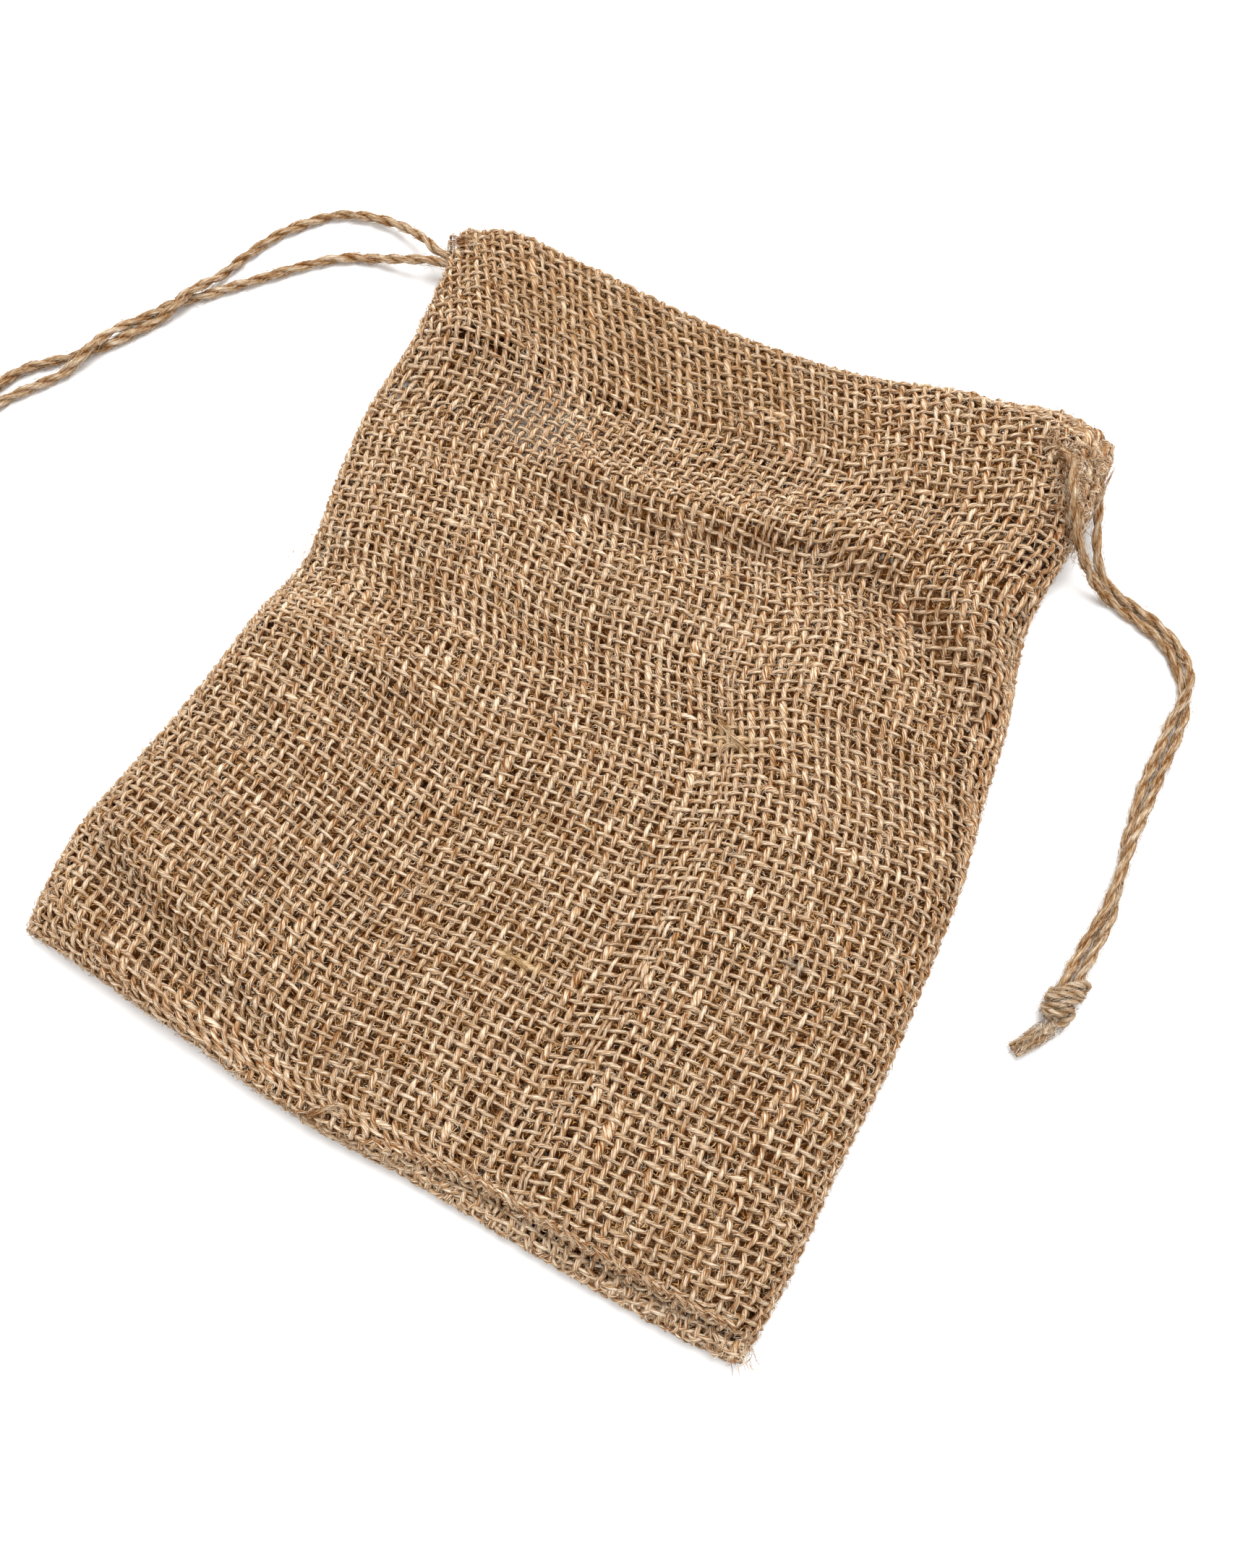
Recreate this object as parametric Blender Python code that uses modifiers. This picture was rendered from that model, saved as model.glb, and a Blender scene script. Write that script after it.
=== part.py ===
"""Hessian drawstring sack, empty and lying on its back panel.

One cloth is folded and sewn to a pocket, with a casing turned down at its mouth.
Two jute twines run in the casing. The two ends of each leave it at one side and
share a knot. The pocket is hollow and open at the mouth.

Units: the tables are in millimetres and the objects in metres. X runs across the
sack, Y from the bottom seam to the mouth, Z up from the surface it lies on.
"""
import math

import bmesh
import bpy
import numpy as np

MM = 0.001

# ------------------------------------------------------------------ cloth sizes
CLOTH_THICK = 2.0          # plain weave, over its crossings
CASING_THICK = 2.8         # cloth folded double and pressed by the stitching
CASING_STEP = 0.9          # how far the folded cloth stands proud of the panel
CASING_EASE = 2.4          # width of that step
SIDE_HEIGHT = 5.0          # outer height of the folded side edges
SIDE_BULGE = 2.3           # how far a folded edge bulges out past its panels
MOUTH_SIDE_RISE = 4.6      # extra side height where the casing ends gape
MOUTH_RISE_FROM = 44.0     # Y where the sides begin to rise towards the mouth
MOUTH_RISE_LENGTH = 28.0   # length of that rise
PUFF = 7.0                 # usual outer height of the front panel
LOWEST = 5.2               # front panel at its lowest, clear of the back panel
LOWEST_EASE = 1.0          # how softly the folds level out there
SIDE_RISE_WIDTH = 12.0     # the front panel climbs from a side edge over this width
MOUTH_RISE_WIDTH = 6.0     # the same at the mouth, where the edge stands steeper
SEAM_RISE_WIDTH = 8.0      # the same from the bottom seam
SEAM_LIP = 3.4             # flat seam that shows below the right half of the front panel
SEAM_LIP_START = (-6.0, 22.0)   # the lip widens from nothing between these X
SEAM_PINCH = (0.45, 0.12)  # how near the first rows at the bottom seam come together

# ------------------------------------------------------------------ mesh density
FRONT_COLUMNS = 34
BACK_COLUMNS = 8
SIDE_STEPS = 4
ROW_BANDS = (              # share of the length at the end of a band, rows in it
    (0.07, 7),
    (0.66, 15),
    (0.90, 14),
    (1.00, 4),
)

# ------------------------------------------------------------------ outline, mm
# Left and right sides: (Y, X)
LEFT_SIDE = (
    (-78.0, -60.5), (-76.0, -64.6), (-72.0, -66.8), (-58.0, -68.1), (-46.0, -66.4),
    (-28.0, -63.6), (-11.0, -61.9), (0.0, -59.6), (6.0, -60.2), (19.0, -63.0),
    (33.0, -65.0), (48.0, -64.9), (58.0, -65.1), (70.0, -66.0), (84.0, -66.6),
)
RIGHT_SIDE = (
    (-82.2, 64.6), (-79.0, 66.6), (-64.0, 67.8), (-51.0, 67.7), (-34.0, 68.6),
    (-17.0, 68.3), (0.0, 67.5), (15.0, 65.3), (29.0, 63.7), (43.0, 60.6),
    (52.0, 59.9), (61.0, 60.8), (71.0, 61.2), (84.0, 61.0),
)
# Bottom seam and the two mouth edges: (X, Y)
BOTTOM_SEAM = (
    (-66.0, -76.4), (-55.0, -77.2), (-39.0, -79.0), (-22.0, -81.1), (-8.0, -81.4),
    (9.0, -81.3), (22.0, -81.8), (39.0, -82.5), (55.0, -82.7), (67.0, -82.4),
)
FRONT_MOUTH = (
    (-64.0, 71.0), (-57.0, 73.4), (-47.0, 74.6), (-37.0, 75.4), (-21.0, 74.8),
    (-7.0, 75.2), (11.0, 77.2), (21.0, 79.4), (32.0, 82.2), (41.0, 82.2),
    (54.0, 83.4), (60.0, 83.2),
)
BACK_MOUTH = (
    (-64.0, 77.4), (-50.0, 79.2), (-36.0, 77.8), (-10.0, 76.8), (12.0, 78.4),
    (32.0, 80.4), (60.0, 81.0),
)
# Stitch line at the foot of the casing: (X, Y)
CASING_LINE = (
    (-62.0, 50.0), (-44.0, 51.8), (-36.0, 51.4), (-18.0, 55.2), (4.0, 58.2),
    (16.0, 60.2), (42.0, 63.2), (60.0, 65.0),
)

# ------------------------------------------------------------------ folds
# Soft ridges (+) and troughs (-) of the front panel:
# name, height, half width, line through the fold as (X, Y) points
FOLDS = (
    ("body_swell", 4.6, 20.0, ((44.0, -47.0), (41.0, 16.0))),
    ("right_mouth_swell", 5.6, 13.0, ((49.0, 80.0), (54.0, 45.0))),
    ("left_mouth_swell", 4.4, 13.0, ((-57.0, 74.0), (-54.0, 56.0))),
    ("left_upper_lobe", 3.4, 15.0, ((-54.0, -14.0), (-46.0, -8.0))),
    ("left_lower_lobe", 3.0, 15.0, ((-56.0, -48.0), (-48.0, -44.0))),
    ("seam_swell", 3.2, 9.0, ((30.0, -70.0), (58.0, -71.0))),
    ("centre_hollow", -0.6, 14.0, ((-26.0, -32.0), (-5.0, -27.0))),
    ("casing_hollow", -1.8, 12.0, ((-36.0, 46.0), (-15.0, 52.0))),
    ("left_hollow", -2.6, 6.0, ((-61.0, 37.0), (-51.0, 45.0))),
    ("lobe_crease", -1.8, 4.0, ((-47.0, -30.0), (-46.0, -18.0), (-44.0, -10.0))),
    ("tension_ridge", 1.3, 3.6, ((-36.0, -9.5), (-20.0, -11.5), (10.0, -14.5))),
    (
        "side_trough", -2.3, 6.0,
        ((-60.0, 2.0), (-40.0, 2.0), (-22.0, 5.5), (-9.0, 8.5), (5.0, 10.0)),
    ),
    (
        "pleat_crest", 3.2, 4.4,
        ((-24.0, 37.6), (-6.0, 38.6), (8.0, 42.2), (22.0, 46.6), (33.0, 48.0)),
    ),
    (
        "pleat_crease", -2.6, 3.4,
        ((-27.0, 30.6), (-14.0, 30.4), (-5.9, 31.4), (7.3, 34.9), (15.0, 38.0), (22.8, 39.8), (31.6, 39.4)),
    ),
    (
        "right_valley", -3.6, 4.2,
        ((31.6, 39.6), (41.5, 36.4), (49.4, 30.8), (57.0, 24.6)),
    ),
    ("right_roll", 2.2, 5.0, ((44.0, 44.6), (53.0, 38.4), (59.0, 32.5))),
    (
        "corner_crease", -2.9, 3.8,
        ((-64.0, -58.0), (-55.0, -62.5), (-45.0, -66.4), (-37.7, -69.0), (-28.0, -72.0), (-19.3, -75.0)),
    ),
    (
        "corner_roll", 2.0, 4.8,
        ((-60.0, -52.5), (-50.0, -57.5), (-38.0, -61.8), (-26.0, -66.0), (-15.0, -69.6)),
    ),
    ("corner_ridge", 1.6, 4.2, ((-61.0, -68.5), (-48.0, -72.5), (-36.0, -75.5))),
)

# ------------------------------------------------------------------ twine
TWINE_DIAMETER = 2.0
TWINE_WAIST = 0.68         # half width across the two plies, as a share of the radius
TWINE_TURN = 9.0           # length of one turn of its two plies
TWINE_STEP = 1.7           # length between two rings of the tube
TWINE_SIDES = 8
REST = 1.1                 # height of a strand's centre line where it lies on the surface

# A pair of strands runs from the casing to its knot. Each row is a place midway between
# the two: X, Y, half their distance, turn of the pair in degrees, and the height of the
# left and of the right strand before a turn lifts one of them over the other.
TWINE_PAIRS = {
    ("twine_left_lower", "twine_left_upper"): (
        (-66.4, 66.8, 1.2, 0, 4.8, 4.9),
        (-69.6, 66.5, 1.45, 0, 4.6, 4.9),
        (-73.8, 66.9, 3.4, 0, 3.6, 4.2),
        (-82.0, 66.9, 5.5, 0, 1.3, 1.9),
        (-89.6, 64.3, 6.4, 0, REST, REST),
        (-96.2, 57.7, 5.6, 0, REST, REST),
        (-100.4, 51.3, 4.0, 0, REST, REST),
        (-103.3, 46.2, 2.2, -5, REST, REST),
        (-105.6, 42.2, 1.2, -45, REST, REST),
        (-107.6, 39.2, 1.2, -90, REST, REST),
        (-109.3, 36.2, 1.2, -140, REST, REST),
        (-111.4, 32.8, 1.2, -180, REST, REST),
        (-113.4, 29.4, 1.2, -190, REST, REST),
        (-115.1, 26.3, 1.2, -220, REST, REST),
        (-116.4, 23.6, 1.2, -255, REST, REST),
        (-117.8, 21.0, 1.2, -290, REST, REST),
        (-119.4, 18.3, 1.3, -335, REST, REST),
        (-121.9, 14.8, 2.2, -360, REST, REST),
        (-125.6, 10.4, 2.8, -360, REST, REST),
        (-128.3, 5.2, 2.0, -360, REST, REST),
        (-129.6, 0.2, 1.4, -360, 1.2, 1.2),
        (-130.3, -4.8, 1.2, -360, 2.2, 2.2),
    ),
    ("twine_right_back", "twine_right_front"): (
        (57.6, 73.4, 5.0, 0, 6.0, 14.9),
        (59.6, 69.0, 4.7, 0, 5.0, 14.0),
        (62.6, 64.7, 3.8, 0, 3.6, 10.0),
        (66.4, 62.2, 2.2, 0, 2.0, 4.4),
        (70.2, 60.9, 1.35, 0, 1.1, 1.6),
        (73.8, 60.0, 1.2, 0, REST, REST),
        (77.8, 59.0, 1.3, 0, REST, REST),
        (81.7, 57.6, 1.2, 0, REST, REST),
        (84.8, 55.5, 1.2, 5, REST, REST),
        (87.1, 52.4, 1.2, 45, REST, REST),
        (88.4, 49.2, 1.2, 90, REST, REST),
        (89.0, 46.4, 1.2, 140, REST, REST),
        (89.1, 43.1, 1.2, 180, REST, REST),
        (89.1, 38.4, 1.2, 180, REST, REST),
        (88.9, 33.3, 1.2, 185, REST, REST),
        (88.9, 28.2, 1.2, 200, REST, REST),
        (89.1, 23.7, 1.2, 245, REST, REST),
        (89.2, 19.5, 1.2, 262, REST, REST),
        (89.7, 15.5, 1.2, 282, REST, REST),
        (90.0, 11.4, 1.2, 300, REST, REST),
        (90.4, 7.1, 1.2, 322, REST, REST),
        (90.1, 3.2, 1.2, 345, REST, REST),
        (89.7, -1.0, 1.2, 360, 1.2, 1.2),
        (89.1, -4.9, 1.2, 360, 2.2, 2.2),
    ),
}

# ------------------------------------------------------------------ knots
# Axis and outline of a knot with its tail: X, Y, Z, half width, half height
KNOT_AXIS = (
    (0.0, 0.0, 2.2, 2.1, 1.5),
    (0.0, -0.9, 2.6, 2.6, 2.3),
    (-0.1, -2.2, 2.9, 3.0, 2.8),
    (-0.3, -3.9, 3.0, 3.1, 2.9),
    (-0.3, -5.5, 2.9, 3.0, 2.8),
    (-0.1, -6.9, 2.6, 2.6, 2.4),
    (-0.1, -8.0, 2.1, 1.9, 1.8),
    (-0.6, -9.4, 1.8, 1.7, 1.5),
    (-1.6, -11.2, 1.6, 1.6, 1.4),
    (-3.0, -13.4, 1.5, 1.5, 1.3),
    (-4.4, -15.5, 1.4, 1.2, 1.1),
)
KNOT_BODY_ROWS = (1, 5)    # the rows of KNOT_AXIS where the twine is wrapped round
KNOT_RIDGE = 0.28          # how far a wrap stands proud
KNOT_WRAPS = 3
KNOT_FLAT_SIDE = -0.5      # the wraps lie flat where the sine of the side's angle is lower
KNOT_SIDES = 14
KNOTS = {                  # node: X and Y of the knot's mouth, 1 or -1 for a mirrored one
    "knot_left": (-130.3, -5.5, 1.0),
    "knot_right": (89.0, -5.6, 1.0),
}


# ================================================================== helpers
def clear_scene():
    for thing in list(bpy.data.objects):
        bpy.data.objects.remove(thing, do_unlink=True)


def new_collection(name):
    collection = bpy.data.collections.new(name)
    bpy.context.scene.collection.children.link(collection)
    return collection


def cloth_material(name, colour, roughness):
    material = bpy.data.materials.new(name)
    material.use_nodes = True
    shader = material.node_tree.nodes["Principled BSDF"]
    shader.inputs["Base Color"].default_value = (*colour, 1.0)
    shader.inputs["Roughness"].default_value = roughness
    shader.inputs["Metallic"].default_value = 0.0
    material.diffuse_color = (*colour, 1.0)
    return material


def smooth_step(value):
    value = min(max(value, 0.0), 1.0)
    return value * value * (3.0 - 2.0 * value)


def mix(first, second, share):
    return first + (second - first) * share


def curve_through(points, parts):
    """A Catmull-Rom curve through the points, with so many parts between two of them."""
    knots = [np.array(point, float) for point in points]
    knots = [2 * knots[0] - knots[1]] + knots + [2 * knots[-1] - knots[-2]]
    line = []
    for before, start, end, after in zip(knots, knots[1:], knots[2:], knots[3:]):
        for part in range(parts):
            u = part / parts
            line.append(
                0.5 * (
                    2 * start
                    + (end - before) * u
                    + (2 * before - 5 * start + 4 * end - after) * u ** 2
                    + (3 * start - before - 3 * end + after) * u ** 3
                )
            )
    line.append(knots[-2])
    return np.array(line)


def outline_reader(table):
    """Reads a two-column table as a smooth function of its first column."""
    line = curve_through(table, 8)
    return lambda value: float(np.interp(value, line[:, 0], line[:, 1]))


def distance_to_line(x, y, points):
    """Distance from a place to a chain of straight pieces."""
    place = np.array((x, y))
    nearest = math.inf
    for start, end in zip(points, points[1:]):
        start = np.array(start)
        along = np.array(end) - start
        share = np.clip(np.dot(place - start, along) / np.dot(along, along), 0.0, 1.0)
        nearest = min(nearest, float(np.linalg.norm(place - start - share * along)))
    return nearest


def rounded_rise(distance, width):
    """0 at an edge, rising like a quarter circle to 1 at the given width."""
    share = min(max(distance / width, 0.0), 1.0)
    return math.sqrt(1.0 - (1.0 - share) ** 2)


left_side = outline_reader(LEFT_SIDE)
right_side = outline_reader(RIGHT_SIDE)
bottom_seam = outline_reader(BOTTOM_SEAM)
front_mouth = outline_reader(FRONT_MOUTH)
back_mouth = outline_reader(BACK_MOUTH)
casing_line = outline_reader(CASING_LINE)


# ================================================================== sack
def casing_share(x, y):
    """0 on the single cloth, 1 on the folded casing."""
    return smooth_step((y - casing_line(x)) / CASING_EASE + 0.5)


def mouth_share(y):
    """0 on the body of the sack, 1 where its sides have risen to the mouth."""
    return smooth_step((y - MOUTH_RISE_FROM) / MOUTH_RISE_LENGTH)


def side_height(y):
    """Outer height of the folded side, more where the casing ends gape."""
    return SIDE_HEIGHT + MOUTH_SIDE_RISE * mouth_share(y)


def seam_lip(x):
    low, high = SEAM_LIP_START
    return SEAM_LIP * smooth_step((x - low) / (high - low))


def front_height(x, y):
    """Outer height of the front panel above the surface that the sack lies on."""
    swell = PUFF
    for _name, height, width, line in FOLDS:
        swell += height * math.exp(-((distance_to_line(x, y, line) / width) ** 2))
    above = swell - LOWEST
    swell = LOWEST + 0.5 * (above + math.hypot(above, LOWEST_EASE))
    edge = side_height(y)
    to_side = min(x - left_side(y), right_side(y) - x) - SIDE_BULGE
    side_width = mix(SIDE_RISE_WIDTH, MOUTH_RISE_WIDTH, mouth_share(y))
    to_seam = y - bottom_seam(x) - seam_lip(x)
    rise = rounded_rise(to_side, side_width) * rounded_rise(to_seam, SEAM_RISE_WIDTH)
    return mix(edge, swell, rise) + CASING_STEP * casing_share(x, y)


def row_shares():
    """Where the rows lie between the bottom seam and the mouth, as shares of the length."""
    shares = [0.0]
    for end, rows in ROW_BANDS:
        start = shares[-1]
        shares += [mix(start, end, (row + 1) / rows) for row in range(rows)]
    return shares


def panel_place(across, along, mouth):
    """Place on a panel, from shares across and along it."""
    low_x = mix(LEFT_SIDE[1][1], RIGHT_SIDE[1][1], across)
    high_x = mix(LEFT_SIDE[-1][1], RIGHT_SIDE[-1][1], across)
    y = mix(bottom_seam(low_x), mouth(high_x), along)
    return left_side(y) + SIDE_BULGE, right_side(y) - SIDE_BULGE, y


def sack_ring(along, pinch):
    """One closed ring round the sack: front panel, right side, back panel, left side."""
    middle = SIDE_HEIGHT / 2
    ring = []
    for column in range(FRONT_COLUMNS + 1):
        across = column / FRONT_COLUMNS
        left, right, y = panel_place(across, along, front_mouth)
        x = mix(left, right, across)
        height = front_height(x, y) if 0 < column < FRONT_COLUMNS else side_height(y)
        ring.append((x, y, mix(height, middle, pinch)))
    back = []
    for column in range(BACK_COLUMNS + 1):
        across = 1.0 - column / BACK_COLUMNS
        left, right, y = panel_place(across, along, back_mouth)
        back.append((mix(left, right, across), y, mix(0.0, middle, pinch)))
    ring += side_arc(ring[-1], back[0], 1.0)
    ring += back
    ring += side_arc(back[-1], ring[0], -1.0)
    return ring


def side_arc(start, end, outward):
    """Points between two panel edges on the round of a folded side, ends left out."""
    points = []
    for step in range(1, SIDE_STEPS):
        angle = math.pi * step / SIDE_STEPS
        share = 0.5 - 0.5 * math.cos(angle)
        points.append((
            mix(start[0], end[0], share) + outward * SIDE_BULGE * math.sin(angle),
            mix(start[1], end[1], share),
            mix(start[2], end[2], share),
        ))
    return points


def make_sack(collection, material):
    """The pocket's outer skin as a loft of rings, open at the mouth, then Solidify inwards."""
    shares = row_shares()
    mesh = bmesh.new()
    rings = []
    for row, along in enumerate(shares):
        pinch = SEAM_PINCH[row] if row < len(SEAM_PINCH) else 0.0
        rings.append([
            mesh.verts.new([value * MM for value in point])
            for point in sack_ring(along, pinch)
        ])
    for lower, upper in zip(rings, rings[1:]):
        for place in range(len(lower)):
            after = (place + 1) % len(lower)
            mesh.faces.new((lower[place], lower[after], upper[after], upper[place]))
    mesh.faces.new(reversed(rings[0]))
    data = bpy.data.meshes.new("sack")
    mesh.to_mesh(data)
    mesh.free()
    data.materials.append(material)
    data.shade_smooth()
    sack = bpy.data.objects.new("sack", data)
    collection.objects.link(sack)

    folded = sack.vertex_groups.new(name="casing")
    for vertex in data.vertices:
        share = casing_share(vertex.co.x / MM, vertex.co.y / MM)
        if share > 0.0:
            folded.add([vertex.index], share, "REPLACE")
    shell = sack.modifiers.new("cloth", "SOLIDIFY")
    shell.thickness = CASING_THICK * MM
    shell.offset = -1.0
    shell.use_even_offset = False
    shell.vertex_group = folded.name
    shell.thickness_vertex_group = CLOTH_THICK / CASING_THICK
    return sack


# ================================================================== twine and knots
def pair_routes(rows):
    """Centre lines of the left and the right strand of a pair."""
    rows = np.array(rows, float)
    middle = rows[:, :2]
    travel = np.gradient(middle, axis=0)
    travel /= np.linalg.norm(travel, axis=1)[:, None]
    leftward = np.column_stack((-travel[:, 1], travel[:, 0]))
    routes = []
    for strand, side in enumerate((1.0, -1.0)):
        route = []
        for place, left, row in zip(middle, leftward, rows):
            half, turn = row[2], math.radians(row[3])
            x, y = place + side * half * math.cos(turn) * left
            lift = half * (abs(math.sin(turn)) + side * math.sin(turn))
            route.append((x, y, row[4 + strand] + lift))
        routes.append(route)
    return routes


def even_points(route):
    """Points one step apart on the smooth curve through a route."""
    line = curve_through(route, 12)
    lengths = np.linalg.norm(np.diff(line, axis=0), axis=1)
    reach = np.concatenate(([0.0], np.cumsum(lengths)))
    count = max(2, round(reach[-1] / TWINE_STEP)) + 1
    places = np.linspace(0.0, reach[-1], count)
    return np.array([np.interp(places, reach, line[:, axis]) for axis in range(3)]).T


def twine_profile(collection):
    """Outline of two plies side by side, which the tube turns along its length."""
    curve = bpy.data.curves.new("twine_profile", "CURVE")
    curve.dimensions = "2D"
    spline = curve.splines.new("POLY")
    spline.points.add(TWINE_SIDES - 1)
    radius = TWINE_DIAMETER / 2 * MM
    for side, point in enumerate(spline.points):
        angle = -2 * math.pi * side / TWINE_SIDES
        reach = radius * (mix(TWINE_WAIST, 1.0, 0.5 + 0.5 * math.cos(2 * angle)))
        point.co = (reach * math.cos(angle), reach * math.sin(angle), 0.0, 1.0)
    spline.use_cyclic_u = True
    profile = bpy.data.objects.new("twine_profile", curve)
    profile.hide_render = True
    profile.display_type = "WIRE"
    collection.objects.link(profile)
    return profile


def make_twine(name, route, profile, collection, material):
    places = even_points(route)
    curve = bpy.data.curves.new(name, "CURVE")
    curve.dimensions = "3D"
    curve.bevel_mode = "OBJECT"
    curve.bevel_object = profile
    curve.use_fill_caps = True
    curve.twist_mode = "MINIMUM"
    spline = curve.splines.new("POLY")
    spline.points.add(len(places) - 1)
    for index, place in enumerate(places):
        spline.points[index].co = (*(place * MM), 1.0)
        spline.points[index].tilt = 2 * math.pi * index * TWINE_STEP / TWINE_TURN
    curve.materials.append(material)
    twine = bpy.data.objects.new(name, curve)
    collection.objects.link(twine)
    return twine


def make_knot(name, place, collection, material):
    """An overhand knot of two twines with their cut tail: a loft along a bent axis."""
    start_x, start_y, mirror = place
    axis = np.array(KNOT_AXIS)
    axis[:, 0] = start_x + mirror * axis[:, 0]
    axis[:, 1] += start_y
    directions = np.gradient(axis[:, :3], axis=0)
    mesh = bmesh.new()
    rings = []
    first_wrap, last_wrap = KNOT_BODY_ROWS
    for row, (centre, direction) in enumerate(zip(axis, directions)):
        direction = direction / np.linalg.norm(direction)
        across = np.cross(direction, (0.0, 0.0, 1.0))
        across /= np.linalg.norm(across)
        upward = np.cross(across, direction)
        ring = []
        for side in range(KNOT_SIDES):
            angle = 2 * math.pi * side / KNOT_SIDES
            ridge = 0.0
            if first_wrap <= row <= last_wrap and math.sin(angle) >= KNOT_FLAT_SIDE:
                turn = (row - first_wrap) * math.pi / 2
                ridge = KNOT_RIDGE * math.cos(KNOT_WRAPS * angle + turn)
            wide = (centre[3] + ridge) * math.cos(angle)
            high = (centre[4] + ridge) * math.sin(angle)
            point = centre[:3] + wide * across + high * upward
            ring.append(mesh.verts.new(point * MM))
        rings.append(ring)
    for lower, upper in zip(rings, rings[1:]):
        for side in range(KNOT_SIDES):
            after = (side + 1) % KNOT_SIDES
            mesh.faces.new((lower[side], lower[after], upper[after], upper[side]))
    mesh.faces.new(reversed(rings[0]))
    mesh.faces.new(rings[-1])
    bmesh.ops.recalc_face_normals(mesh, faces=mesh.faces)
    data = bpy.data.meshes.new(name)
    mesh.to_mesh(data)
    mesh.free()
    data.materials.append(material)
    data.shade_smooth()
    knot = bpy.data.objects.new(name, data)
    collection.objects.link(knot)
    return knot


def main():
    clear_scene()
    parts = new_collection("hessian_sack")
    guides = new_collection("guides")
    make_sack(parts, cloth_material("hessian", (0.52, 0.36, 0.20), 0.92))
    jute = cloth_material("jute_twine", (0.50, 0.34, 0.19), 0.90)
    profile = twine_profile(guides)
    for names, rows in TWINE_PAIRS.items():
        for name, route in zip(names, pair_routes(rows)):
            make_twine(name, route, profile, parts, jute)
    knotted = cloth_material("jute_knot", (0.50, 0.34, 0.19), 0.92)
    for name, place in KNOTS.items():
        make_knot(name, place, parts, knotted)


main()
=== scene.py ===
"""Looks of an empty hessian drawstring sack that lies on its back panel.

The cloth is woven here from its own yarns: warps that run from the bottom seam to the
mouth and turn down into the casing, and wefts that run round the sack. Each yarn goes
over one and under the next. The drawstrings are two plies laid round each other.

Tables and functions are in millimetres, meshes in metres. X runs across the sack, Y from
the bottom seam to the mouth, Z up from the surface it lies on.
"""

import math

import bmesh
import bpy
import numpy as np
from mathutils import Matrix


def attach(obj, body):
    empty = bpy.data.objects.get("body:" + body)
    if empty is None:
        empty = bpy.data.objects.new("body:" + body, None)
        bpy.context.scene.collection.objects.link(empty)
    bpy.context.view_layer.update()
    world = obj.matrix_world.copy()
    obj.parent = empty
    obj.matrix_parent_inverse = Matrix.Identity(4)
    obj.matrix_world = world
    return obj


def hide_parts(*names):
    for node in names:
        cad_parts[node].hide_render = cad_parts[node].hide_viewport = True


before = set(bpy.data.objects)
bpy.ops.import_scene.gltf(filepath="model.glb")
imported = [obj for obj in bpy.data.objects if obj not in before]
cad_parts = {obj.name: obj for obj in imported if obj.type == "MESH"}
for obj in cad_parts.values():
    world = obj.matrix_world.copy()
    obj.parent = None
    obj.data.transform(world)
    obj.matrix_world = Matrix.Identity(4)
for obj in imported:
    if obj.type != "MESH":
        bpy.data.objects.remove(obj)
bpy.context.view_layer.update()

MM = 0.001
random = np.random.default_rng(seed=11)

# ------------------------------------------------------------------ weave
FRONT_WARPS = 65           # warps across one panel
SIDE_WARPS = 4             # warps on the round of a folded side
BACK_START = FRONT_WARPS + SIDE_WARPS
BACK_END = BACK_START + FRONT_WARPS
RING = BACK_END + SIDE_WARPS
BOTTOM_ROWS = 2            # wefts on the turn at the bottom seam
BODY_ROWS = 89             # wefts from there to the mouth
TURN_ROWS = 2              # wefts on the turn at the mouth
INNER_ROWS = 11            # wefts of the casing that are turned inside
MOUTH_ROW = BOTTOM_ROWS + BODY_ROWS
INNER_START = MOUTH_ROW + TURN_ROWS
LAST_ROW = INNER_START + INNER_ROWS
WARP_PITCH = 2.0
WEFT_PITCH = 1.78
WARP_HALF_WIDTH = 0.48
WEFT_HALF_WIDTH = 0.36
BACK_HALF_WIDTH = 0.84     # the yarns of the back panel are pressed flat and wide
YARN_HALF_THICK = 0.36
THICKER_WITH_WIDTH = 0.3   # how much of a change of width its thickness follows
YARN_WIDTHS = (0.85, 1.17)     # least and greatest width of a whole yarn, as shares
YARN_EXTREMES = (0.6, 2.4)     # the same at any place of it
YARN_STRAY = 0.05          # how far a whole yarn is off its place, in pitches
CRIMP = 0.34               # how far a yarn's centre swings out of the cloth's middle
CREST_TONE = 0.07          # how much paler a yarn is where it lies on top and darker where it dives under: painted highlight and painted shade, partly soiling
# Chance waves along a yarn, as steps and amounts: of its place in pitches, of its crimp,
# of its width, and of its tone
PLACE_WAVES = ((1.6, 0.055), (8.0, 0.04))
CRIMP_WAVES = ((2.0, 0.12),)
WIDTH_WAVES = ((1.3, 0.11), (6.0, 0.04))
TONE_WAVES = ((5.0, 0.015), (1.1, 0.03))
YARN_TONE_STRAY = 0.02
SLUBS_PER_MM = 0.014
SLUB_LENGTHS = (0.8, 3.5)
SLUB_SHARES = (0.2, 0.8)
CLOTH_DEPTH = 0.75         # the cloth's middle lies so far inside the sack's skin
CASING_LAYERS = 1.4        # distance between the two layers of the casing
DOUBLED_WARP = 45          # two yarns lie side by side as this warp
DOUBLED_SPREAD = 0.19      # their distance from its middle, in warps
DOUBLED_WIDTH = 0.78       # and their share of a warp's width
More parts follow.
